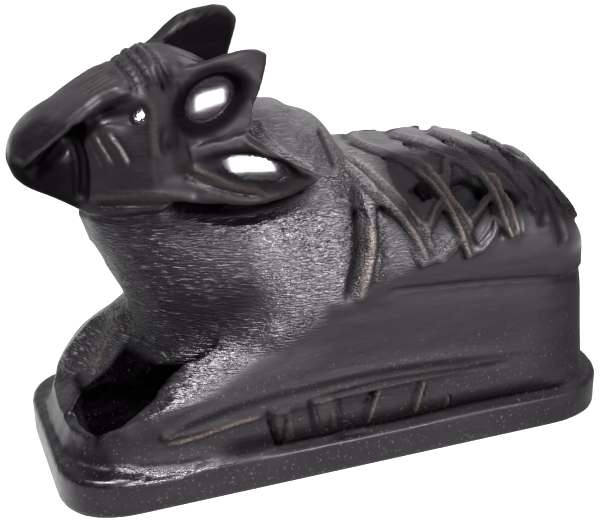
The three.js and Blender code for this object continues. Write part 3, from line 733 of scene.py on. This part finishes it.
def height_over_surroundings(mesh, points, normals):
    """How far each point stands out from its surroundings, in parts; in a hollow it is negative."""
    ends = np.empty(len(mesh.edges) * 2, np.int32)
    mesh.edges.foreach_get("vertices", ends)
    ends = ends.reshape(-1, 2)
    here = np.concatenate([ends[:, 0], ends[:, 1]])
    there = np.concatenate([ends[:, 1], ends[:, 0]])
    neighbours = np.bincount(here, minlength=len(points))
    settled = points.copy()
    for _ in range(SETTLING):
        for axis in range(3):
            mean = np.bincount(here, settled[there, axis], len(points)) / neighbours
            settled[:, axis] = 0.5 * (settled[:, axis] + mean)
    return ((points - settled) * normals).sum(axis=1)


class Carver:
    """Adds cuts and ridges to a surface's points along their normals, and marks its finish, its
    painted shade and its painted edge highlights.
    """

    def __init__(self, mesh, depth_share):
        self.mesh = mesh
        self.points, self.normals = points_of(mesh)
        self.over = height_over_surroundings(mesh, self.points, self.normals)
        self.depth_share = depth_share
        self.rise = np.zeros(len(self.points))
        self.shift = np.zeros(self.points.shape)
        self.marks = {name: np.zeros(len(self.points)) for name in MARKS}

    def zone(self, name):
        return within(self.points, *ZONES[name])

    def facing(self, direction, least=0.05):
        """1 where the surface faces the direction, fading to 0 where it turns away."""
        return smooth_step(least, least + 0.25, self.normals @ np.array(direction, float))

    def add_mark(self, name, values):
        self.marks[name] = np.maximum(self.marks[name], values)

    def cut(
        self, chart, zone, path, width, depth,
        kind="groove", wear_and_edge_light=0, polish=0, ends=0.12, shade=None,
    ):
        """One stroke along a path in a chart, on the zone's points; shade is painted into its
        bottom.
        """
        chosen = np.nonzero(zone > 0.01)[0]
        flat = chart(self.points[chosen])
        path = rounded_path(path)
        low, high = path.min(axis=0) - width, path.max(axis=0) + width
        near = ((flat >= low) & (flat <= high)).all(axis=1)
        chosen = chosen[near]
        distance, share = from_path(flat[near], path)
        shape = profile(kind, distance / (width / 2))
        fade = smooth_step(0, ends, share) * smooth_step(0, ends, 1 - share)
        self.rise[chosen] += shape * fade * zone[chosen] * depth * self.depth_share
        if shade is None:
            shade = min(1, 1.6 * depth)
        across = fade * zone[chosen]
        for name, values in (
            ("wear_and_edge_light", shape**2 * wear_and_edge_light),
            ("polish", np.abs(shape) * polish),
            ("painted_shade", np.maximum(0, -shape) * shade * (1 - polish)),
        ):
            self.marks[name][chosen] = np.maximum(self.marks[name][chosen], values * across)

    def bowl(self, toward, zone, centre, radii, turn, depth, curves, slope, painted_rim_shade):
        """A polished oval hollow of the side, round a centre in x and height.

        Its longer way is turned by degrees. Its floor has a curve's radius along and across it
        and, in its middle, the slope outwards along x and up. It clears the strokes before it.
        """
        offset = self.points[:, [0, 2]] - np.array(centre)
        cosine, sine = math.cos(math.radians(turn)), math.sin(math.radians(turn))
        along = offset[:, 0] * cosine + offset[:, 1] * sine
        across = offset[:, 1] * cosine - offset[:, 0] * sine
        reach = np.hypot(along / radii[0], across / radii[1])
        out = self.points[:, 1] * toward
        own = zone > 0.3
        middle = (reach < 0.25) & own
        if not middle.any():
            return
        floor = out[middle].mean() - depth + offset @ np.array(slope)
        floor = floor + along**2 / (2 * curves[0]) + across**2 / (2 * curves[1])
        share = (1 - smooth_step(*BOWL_EDGE, reach)) * own
        self.shift[:, 1] += toward * share * (floor - out) * self.depth_share
        self.rise *= 1 - share
        self.add_mark("polish", (1 - smooth_step(*BOWL_SHINE, reach)) * own)
        # Painted shade round the hollow's rim
        self.add_mark("painted_shade", painted_rim_shade * (1 - smooth_step(*BOWL_RIM, reach)) * zone)

    def move(self):
        """Moves the surface's points by their cuts and ridges, inside the solid's own box."""
        moved = self.points + self.normals * self.rise[:, None] + self.shift
        low, high = ((np.array(corner) - np.array(ORIGIN)) / PART for corner in CAD_BOX)
        framed = np.clip(moved, low, high) * PART + np.array(ORIGIN)
        self.mesh.vertices.foreach_set("co", framed.astype(np.float32).ravel())
        self.mesh.update()

    def mark(self):
        """Writes each mark on the surface, as an attribute from 0 to 1."""
        for name, values in self.marks.items():
            layer = self.mesh.attributes.new(name, "FLOAT", "POINT")
            layer.data.foreach_set("value", np.clip(values, 0, 1).astype(np.float32))


def smooth_wall(carver):
    return carver.zone("smooth_wall") * (1 - carver.marks["filed"])


def finish_places(carver):
    """How the wood is finished before any stroke: filed, matte, glossy and dusty."""
    x, y, z = carver.points.T
    marks = carver.marks
    hump_top = carver.zone("hump_top") * (np.abs(y) < 8.5)
    far_leg = carver.zone("far_leg")
    flank = carver.zone("flank") * np.maximum(1 - smooth_step(9, 15, x), smooth_step(22, 24, z))
    leg = carver.zone("leg") * smooth_step(0.2, 0.6, carver.normals[:, 2])
    above_edge = smooth_step(-0.6, 1.2, z - np.interp(x, *zip(*FILED_EDGE)))
    filed = np.max([carver.zone("breast"), carver.zone("neck"), 0.9 * flank, leg], axis=0)
    filed = filed * above_edge
    marks["filed"] = np.max([filed, far_leg, 0.7 * hump_top], axis=0)
    marks["matte"] = np.maximum(hump_top, smooth_wall(carver))
    for name, share in MATTE_ZONES.items():
        carver.add_mark("matte", share * carver.zone(name))
    marks["glint"] = np.max(
        [carver.zone("neck_side"), 0.5 * hump_top, 0.6 * filed * flank, far_leg], axis=0
    )
    marks["dust"] = 0.35 * (1 - smooth_step(6, 11, z))


def paint_shade_and_edge_light(carver):
    """Paints shade into the recesses and whole shaded places, and gives edges that stand out the
    wear colour, as rubbed wear and a painted highlight.
    """
    x, y, z = carver.points.T
    marks = carver.marks
    # Painted shade over whole places that lie in shade
    for name, share in PAINTED_SHADE_ZONES.items():
        carver.add_mark("painted_shade", share * carver.zone(name))
    turn = saddle_turn(carver.points)
    net = smooth_step(3, 6, x) * smooth_step(16, 34, turn) * (1 - smooth_step(70, 80, turn))
    net = net * (z > HEM - 3)
    recess = smooth_step(0.1, 0.55, -carver.over) * (1 - 0.8 * carver.zone("far_leg"))
    rear_wall = smooth_step(10, 30, x) * (1 - smooth_step(13, 16, z))
    horn_face = carver.zone("horn_face") * (np.abs(y) > 4)
    ear_face = carver.zone("ear_face") * (np.abs(y) > 9)
    breast_front = carver.zone("breast") * carver.facing((-0.93, 0.36, 0), 0.5)
    # Painted shade in the hollows, on the lower wall darker towards the rear, over the net, on the
    # smooth wall, on the horn's and ear's outer faces and on the front edge of the breast
    for share, place in (
        (1, recess),
        (0.6, rear_wall),
        (0.7, net),
        (0.3, smooth_wall(carver)),
        (0.45, horn_face),
        (0.25, ear_face),
        (0.25, breast_front),
    ):
        carver.add_mark("painted_shade", share * place)
    # The wear colour on edges that stand out: rubbed wear, and a painted highlight along them
    body = smooth_step(-17, -14, x) * (z > 1)
    rubbed_and_highlit_edges = np.maximum(0.22 * body, 0.3 * carver.zone("mouth_rim"))
    marks["wear_and_edge_light"] = smooth_step(0.35, 0.9, carver.over) * rubbed_and_highlit_edges


def carve_front(carver):
    """The far foreleg's edge, the filed band on the plinth's top edge, and the poll's grooves."""
    x, y, z = carver.points.T
    leg_side = carver.facing((-0.4, -0.7, 0.4)) * (y > 1) * (y < 7)
    carver.cut(side_chart, leg_side, FORELEG_EDGE, width=0.7, depth=0.25, kind="ridge", wear_and_edge_light=0.35)

    skirt = carver.facing((-0.3, -0.3, 0.9), 0.5) * (z < 0.6) * (y < -9)
    carver.cut(top_chart, skirt, SKIRT_BAND, width=2.4, depth=0.45, ends=0.3, shade=0)
    away, _ = from_path(top_chart(carver.points), rounded_path(SKIRT_BAND))
    band = skirt * (1 - smooth_step(0.5, 1.3, np.abs(away)))
    carver.add_mark("filed", band)
    carver.add_mark("glint", band)
    carver.marks["matte"] *= 1 - band
    carver.marks["painted_shade"] *= 1 - band

    poll = carver.facing((0, 0, 1)) * carver.zone("between_horns")
    for path in POLL_CUTS:
        carver.cut(top_chart, poll, path, width=0.8, depth=0.22, ends=0.2)


def carve_side(carver, toward, share):
    """The strokes and polished hollows of one side, from the head to the lower wall."""
    x, y, z = carver.points.T
    out = y * toward
    own = smooth_step(0, 0.4, out) * share
    side = carver.facing((0, toward, 0)) * own
    head = carver.facing((-0.5, 0.86 * toward, 0)) * own * (x < HEAD_REAR) * (z > HEAD_FOOT)
    ear_share = smooth_step(*EAR_ROOT, out)
    horn = side * carver.zone("horn")
    ear = side * ear_share * carver.zone("ear")
    wall = smooth_step(9, 10.5, out) * (z < 17) * share
    wall = wall * carver.facing((0, 0.8 * toward, 0.5))
    breast = side * smooth_step(4, 8, out)
    hump = side * (1 - ear_share) * carver.zone("hump_side")
    strap = side * (x > -2) * (x < 5) * (z > 13)
    throat = side * (z < 27.4) * (1 - smooth_step(10.4, 11, out))
    for zone, strokes in (
        (head, CHEEK_CUTS),
        (horn, HORN_CUTS),
        (ear, EAR_CUTS),
        (wall, WALL_CUTS),
        (breast, BREAST_CUTS),
        (hump, HUMP_CUTS),
        (strap, STRAP_CUTS),
        (throat, NECK_CUTS),
    ):
        for stroke in strokes:
            carver.cut(side_chart, zone, **stroke)
    carver.bowl(toward, horn, **HORN_BOWL)
    carver.bowl(toward, ear, **EAR_BOWL)
    carver.bowl(toward, own * (x < HEAD_REAR) * (out > 2), **EYE)
    for path in HUMP_HATCH:
        carver.cut(side_chart, hump, path, width=0.3, depth=0.14)

    crown = rounded_path(BREAST_CUTS[0]["path"])
    away, _ = from_path(side_chart(carver.points), crown)
    carver.add_mark("glint", 0.7 * breast * (1 - smooth_step(0.6, 1.8, np.abs(away))))


def carve_horn_face(carver, toward, share):
    """The inner face of one horn with painted shade, its fan of fine marks, and a painted highlight
    along its rim.
    """
    _, y, z = carver.points.T
    face = carver.facing((0, -toward, 0.2), 0.45) * (y * toward > 2) * (z > 37)
    for end in HORN_FAN_ENDS:
        path = [HORN_FAN_FOOT, end]
        carver.cut(side_chart, face * share, path, width=0.36, depth=0.1)
    rim = smooth_step(0.15, 0.5, carver.over)
    # Painted shade on the inner face, and a painted highlight in the wear colour along its rim
    carver.add_mark("painted_shade", 0.9 * face * (1 - rim))
    carver.add_mark("wear_and_edge_light", 0.15 * face * share * rim)


def carve_bridle(carver, toward, share):
    """The bridle's cross lines over the brow, and the short marks on the nose."""
    x, y, z = carver.points.T
    brow = carver.facing((0, 0.6 * toward, 0.8)) * share * (y * toward > -0.6)
    brow = brow * (x < -17) * (z > 33)
    for station in BRIDLE_LINES:
        path = [[station, BRIDLE_REACH[1]], [station, 25], [station + 0.5, BRIDLE_REACH[0]]]
        carver.cut(brow_chart, brow, path, width=0.55, depth=0.28, ends=0.05)
    for level in BRIDLE_PIECES:
        path = [[BRIDLE_LINES[0], level - 0.3], [BRIDLE_LINES[2], level + 0.3]]
        carver.cut(brow_chart, brow, path, width=0.45, depth=0.22)
    for path in NOSE_MARKS:
        carver.cut(brow_chart, brow, path, width=0.4, depth=0.14, wear_and_edge_light=0.5)


def carve_back(carver, toward, share):
    """The plates along the crest and the net over one half of the back."""
    x, y, z = carver.points.T
    half = smooth_step(-0.8, 0.8, y * toward) * (x > -1) * (z > HEM - 1) * share
    for path, depth in PLATE_EDGES:
        path = over_net(path)
        carver.cut(saddle_chart, half, path, width=2.6, depth=depth, kind="lip", ends=0.08, shade=1)
    for path in PLATE_GAPS:
        carver.cut(side_chart, half * (x > 18), path, width=2.4, depth=0.4, shade=0.7)
    for paths, stroke in (
        (NET_RIDGES, dict(width=0.9, depth=0.24, kind="ridge", wear_and_edge_light=0.55)),
        (NET_FURROWS, dict(width=0.7, depth=0.32)),
        (NET_TIES, dict(width=0.7, depth=0.18, kind="ridge", wear_and_edge_light=0.2)),
    ):
        for path in paths:
            carver.cut(saddle_chart, half, over_net(path), **stroke)


def carved(mesh, depth_share):
    """A surface's carver, with every stroke and mark worked out."""
    carver = Carver(mesh, depth_share)
    finish_places(carver)
    paint_shade_and_edge_light(carver)
    carve_front(carver)
    for toward, share in ((-1, 1.0), (1, FAR_SHARE)):
        for carve in (carve_side, carve_horn_face, carve_bridle, carve_back):
            carve(carver, toward, share)
    return carver


# The wood's finish

# The sizes of the wood's patterns, in parts
GRAIN_SIZE = 1.6
CLOUD_SIZE = 9
SPECK_SIZE = 0.3
FACET_SIZE = 2.2

# How strokes, level strokes and facets are drawn out along x and y
STROKE_STRETCH = (0.12, 1.0, 1.0)
LEVEL_STRETCH = (0.12, 0.16, 1.0)
FACET_STRETCH = (0.6, 1.0, 1.0)

# The file went level round the breast and lengthwise behind it: where one turns into the other
LEVEL_UP_TO = -13
LENGTHWISE_FROM = -6

# How deep the file's strokes and the knife's facets look, in parts
FILE_BITE = 0.27
FACET_BITE = 0.25

GLOSS = 0.33
GLINT_GAIN = 1.9
POLISHED_SHARE = 0.34
SHINE_TINT = (1.0, 0.93, 1.0)
# The black that painted shade turns the wood's colour towards
PAINTED_SHADE_BLACK = (0.0, 0.0, 0.0)


class NodeSheet:
    """Lays out a material's nodes and links them."""

    def __init__(self, material):
        material.use_nodes = True
        self.tree = material.node_tree
        self.tree.nodes.clear()

    def set(self, socket, value):
        if isinstance(value, bpy.types.NodeSocket):
            self.tree.links.new(value, socket)
        else:
            socket.default_value = value

    def add(self, kind, inputs=None, **settings):
        node = self.tree.nodes.new(kind)
        for name, value in settings.items():
            setattr(node, name, value)
        for name, value in (inputs or {}).items():
            self.set(node.inputs[name], value)
        return node

    def maths(self, operation, a, b, clamp=False):
        node = self.add("ShaderNodeMath", {0: a, 1: b}, operation=operation, use_clamp=clamp)
        return node.outputs[0]

    def times(self, a, b, clamp=False):
        return self.maths("MULTIPLY", a, b, clamp)

    def plus(self, a, b):
        return self.maths("ADD", a, b)

    def minus(self, a, b):
        return self.maths("SUBTRACT", a, b)

    def span(self, value, low, high, to_low=0.0, to_high=1.0):
        ends = {"From Min": low, "From Max": high, "To Min": to_low, "To Max": to_high}
        node = self.add("ShaderNodeMapRange", {"Value": value, **ends}, clamp=True)
        return node.outputs["Result"]

    def blend(self, share, a, b):
        node = self.add("ShaderNodeMix", data_type="RGBA")
        for name, value in (("Factor", share), ("A", a), ("B", b)):
            self.set(next(s for s in node.inputs if s.name == name and s.enabled), value)
        return next(s for s in node.outputs if s.enabled)


def opaque(colour):
    return (*colour, 1.0)


def black_wood(sizes, colours):
    """Stained black wood, with its finish from the marks that the carving left."""
    material = bpy.data.materials.new("black_wood")
    sheet = NodeSheet(material)
    place = sheet.add("ShaderNodeTexCoord").outputs["Object"]

    def mark(name):
        return sheet.add("ShaderNodeAttribute", attribute_name=name).outputs["Fac"]

    def noise(size, detail, stretch=(1.0, 1.0, 1.0)):
        laid = sheet.add("ShaderNodeMapping", {"Vector": place, "Scale": stretch}).outputs[0]
        return sheet.add(
            "ShaderNodeTexNoise", {"Vector": laid, "Scale": 1 / size, "Detail": detail}
        ).outputs["Fac"]

    polish, filed, wear_and_edge_light, dust, painted_shade, matte, glint = (mark(name) for name in MARKS)
    lengthwise = noise(sizes.stria_pitch, 2.0, STROKE_STRETCH)
    level = noise(sizes.stria_pitch, 2.0, LEVEL_STRETCH)
    along = sheet.add("ShaderNodeSeparateXYZ", {"Vector": place}).outputs["X"]
    breast = sheet.span(along, LEVEL_UP_TO * PART, LENGTHWISE_FROM * PART, 1.0, 0.0)
    stria = sheet.plus(lengthwise, sheet.times(sheet.minus(level, lengthwise), breast))
    grain = noise(GRAIN_SIZE * PART, 4.0, STROKE_STRETCH)
    cloud = noise(CLOUD_SIZE * PART, 3.0)
    speck = noise(SPECK_SIZE * PART, 1.0)
    facets = noise(FACET_SIZE * PART, 2.0, FACET_STRETCH)

    # Colour: brown streaks, rubbed ridges with painted edge highlights, dust and scratches, and
    # painted shade in the recesses and shaded places
    streaked = sheet.times(sheet.span(grain, 0.42, 0.68), sheet.span(cloud, 0.3, 0.7))
    base = sheet.blend(streaked, opaque(colours.black), opaque(colours.brown))
    rubbed_and_highlit_edges = sheet.times(wear_and_edge_light, sheet.span(speck, 0.3, 0.6, 0.35, 1.0), clamp=True)
    base = sheet.blend(rubbed_and_highlit_edges, base, opaque(colours.wear_and_edge_light))
    specks = sheet.times(dust, sheet.span(speck, 0.66, 0.74), clamp=True)
    base = sheet.blend(sheet.times(specks, 0.5), base, opaque(colours.dust))
    shade = sheet.times(painted_shade, sheet.minus(1.0, polish), clamp=True)
    scratches = sheet.times(filed, sheet.span(stria, 0.6, 0.7), clamp=True)
    scratches = sheet.times(scratches, sheet.span(shade, 0.0, 0.6, 0.4, 0.0))
    base = sheet.blend(scratches, base, opaque(colours.dust))
    # Painted shade: the colour turns towards black where shade is painted
    base = sheet.blend(sheet.times(shade, 0.75), base, opaque(PAINTED_SHADE_BLACK))

    # Shine: none where shade is painted, most on the glossy and polished places
    gloss = sheet.times(
        sheet.span(shade, 0.0, 1.0, GLOSS, 0.0), sheet.span(glint, 0.0, 1.0, 1.0, GLINT_GAIN)
    )
    satin = sheet.span(sheet.plus(stria, cloud), 0.7, 1.3, 0.22, 0.36)
    satin = sheet.plus(satin, sheet.times(matte, 0.25))
    satin = sheet.plus(satin, sheet.times(dust, 0.08))
    satin = sheet.plus(satin, sheet.times(shade, 0.4))
    rough = sheet.times(satin, sheet.span(polish, 0.0, 1.0, 1.0, POLISHED_SHARE), clamp=True)

    # The file's strokes and the knife's facets, shallower where the wood is polished
    shallow = sheet.minus(1.0, sheet.times(polish, 0.9))
    strokes = sheet.times(sheet.times(stria, filed), shallow)
    fine = sheet.add(
        "ShaderNodeBump", {"Height": strokes, "Strength": 1.0, "Distance": FILE_BITE * PART}
    ).outputs[0]
    broad = sheet.add(
        "ShaderNodeBump",
        {
            "Height": sheet.times(facets, shallow),
            "Strength": 0.5,
            "Distance": FACET_BITE * PART,
            "Normal": fine,
        },
    ).outputs[0]

    shader = sheet.add(
        "ShaderNodeBsdfPrincipled",
        {
            "Base Color": base,
            "Roughness": rough,
            "Normal": broad,
            "IOR": 1.45,
            "Specular IOR Level": gloss,
            "Specular Tint": opaque(SHINE_TINT),
        },
    )
    shader.inputs["Specular IOR Level"].default_value = GLOSS  # for a model that drops the link
    sheet.add("ShaderNodeOutputMaterial", {"Surface": shader.outputs[0]})
    return material


# The stage


FLOOR_HALF_WIDTH = 3.0
FLOOR_TONES = (0.2, 0.19)
FLOOR_GLOW = 0.88


def plain_floor(colours):
    """A wide pale floor that glows a little, so that it stays an even white."""
    bm = bmesh.new()
    bmesh.ops.create_grid(bm, x_segments=1, y_segments=1, size=FLOOR_HALF_WIDTH)
    mesh = bpy.data.meshes.new("floor")
    bm.to_mesh(mesh)
    bm.free()
    floor = linked("floor", mesh)
    material = bpy.data.materials.new("pale_floor")
    sheet = NodeSheet(material)
    place = sheet.add("ShaderNodeTexCoord").outputs["Object"]
    faint = sheet.add("ShaderNodeTexNoise", {"Vector": place, "Scale": 30.0}).outputs["Fac"]
    light, dark = (opaque([c * tone for c in colours.floor]) for tone in FLOOR_TONES)
    shader = sheet.add(
        "ShaderNodeBsdfPrincipled",
        {
            "Base Color": sheet.blend(sheet.span(faint, 0.3, 0.7), light, dark),
            "Roughness": 0.8,
            "Specular IOR Level": 0.1,
            "Emission Color": opaque(colours.floor),
            "Emission Strength": FLOOR_GLOW,
        },
    )
    sheet.add("ShaderNodeOutputMaterial", {"Surface": shader.outputs[0]})
    mesh.materials.append(material)
    return floor


CAMERA_TARGET = Vector((0.35, 0, 20)) * PART
CAMERA_AZIMUTH = math.radians(-21)
CAMERA_HEIGHT = math.radians(21)
CAMERA_ROLL = math.radians(-0.8)
CAMERA_DISTANCE = 133.5 * PART
SENSOR_WIDTH = 36
IMAGE_WIDTH = 600
FOCAL_PIXELS = 1200
SHIFT_PIXELS = (-19, -17)


def photo_camera():
    camera = bpy.data.cameras.new("camera")
    camera.sensor_width = SENSOR_WIDTH
    camera.lens = SENSOR_WIDTH * FOCAL_PIXELS / IMAGE_WIDTH
    camera.shift_x, camera.shift_y = (p / IMAGE_WIDTH for p in SHIFT_PIXELS)
    camera.clip_start = 0.01
    camera.clip_end = 20
    holder = linked("camera", camera)
    back = direction(CAMERA_AZIMUTH, CAMERA_HEIGHT)
    holder.location = CAMERA_TARGET + back * CAMERA_DISTANCE
    holder.rotation_mode = "QUATERNION"
    aim = (-back).to_track_quat("-Z", "Y")
    holder.rotation_quaternion = aim @ Quaternion((0, 0, 1), CAMERA_ROLL)
    bpy.context.scene.camera = holder


# Soft lights round the figure: name, azimuth from the front and height in degrees, width and
# height in parts, brightness as a multiple of the floor's white
LIGHTS = [
    ["front_window", 10, 19, 170, 84, 92.0],
    ["overhead", -56, 71, 150, 110, 84.0],
    ["rear_right", 132, 38, 240, 170, 8.0],
    ["backdrop", 165, 16, 620, 190, 0.5],
]
LIGHT_DISTANCE = 350 * PART
ROOM_BRIGHTNESS = 0.32


def direction(azimuth, height):
    level = math.cos(height)
    return Vector((math.sin(azimuth) * level, -math.cos(azimuth) * level, math.sin(height)))


def soft_lights():
    for name, azimuth, height, wide, high, brightness in LIGHTS:
        light = bpy.data.lights.new(name, "AREA")
        light.shape = "RECTANGLE"
        light.size, light.size_y = wide * PART, high * PART
        light.energy = brightness * math.pi * light.size * light.size_y
        holder = linked(name, light)
        away = direction(math.radians(azimuth), math.radians(height))
        holder.location = CAMERA_TARGET + away * LIGHT_DISTANCE
        holder.rotation_mode = "QUATERNION"
        holder.rotation_quaternion = (-away).to_track_quat("-Z", "Y")
        holder.visible_camera = False
    world = bpy.data.worlds.new("bright_room")
    world.use_nodes = True
    background = world.node_tree.nodes["Background"].inputs
    background["Color"].default_value = (1, 1, 1, 1)
    background["Strength"].default_value = ROOM_BRIGHTNESS
    bpy.context.scene.world = world


# Operators and panel


class BULL_OT_carve(bpy.types.Operator):
    """Carve the bull with its plinth from the solid and give it its wood"""

    bl_idname = "bull.carve"
    bl_label = "Carve the bull"

    def execute(self, context):
        sizes = context.scene.carving_sizes
        piece = carved_surface(sizes)
        carved(piece.data, sizes.cut_share).move()
        thinned(piece, sizes.triangles)
        carved(piece.data, sizes.cut_share).mark()
        piece.data.materials.append(black_wood(sizes, context.scene.wood_colours))
        piece.data.polygons.foreach_set("use_smooth", [True] * len(piece.data.polygons))
        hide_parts(SOLID)
        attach(piece, "root")
        return {"FINISHED"}


class BULL_OT_stage(bpy.types.Operator):
    """Set up the pale floor, the soft lights and the camera"""

    bl_idname = "bull.stage"
    bl_label = "Set the stage"

    def execute(self, context):
        plain_floor(context.scene.wood_colours)
        soft_lights()
        photo_camera()
        context.scene.view_settings.view_transform = "Standard"
        return {"FINISHED"}


class BULL_PT_panel(bpy.types.Panel):
    """The carved bull's steps, sizes and colours"""

    bl_idname = "BULL_PT_panel"
    bl_label = "Carved Bull"
    bl_space_type = "VIEW_3D"
    bl_region_type = "UI"
    bl_category = "Bull"

    def draw(self, context):
        layout = self.layout
        for group in (context.scene.carving_sizes, context.scene.wood_colours):
            for name in group.bl_rna.properties.keys():
                if name not in ("rna_type", "name"):
                    layout.prop(group, name)
        layout.operator("bull.carve")
        layout.operator("bull.stage")


CLASSES = (CarvingSizes, WoodColours, BULL_OT_carve, BULL_OT_stage, BULL_PT_panel)


def register():
    for cls in CLASSES:
        bpy.utils.register_class(cls)
    bpy.types.Scene.carving_sizes = PointerProperty(type=CarvingSizes)
    bpy.types.Scene.wood_colours = PointerProperty(type=WoodColours)


def unregister():
    del bpy.types.Scene.wood_colours
    del bpy.types.Scene.carving_sizes
    for cls in reversed(CLASSES):
        bpy.utils.unregister_class(cls)


def main():
    register()
    bpy.ops.bull.stage()
    bpy.ops.bull.carve()


if __name__ == "__main__":
    main()
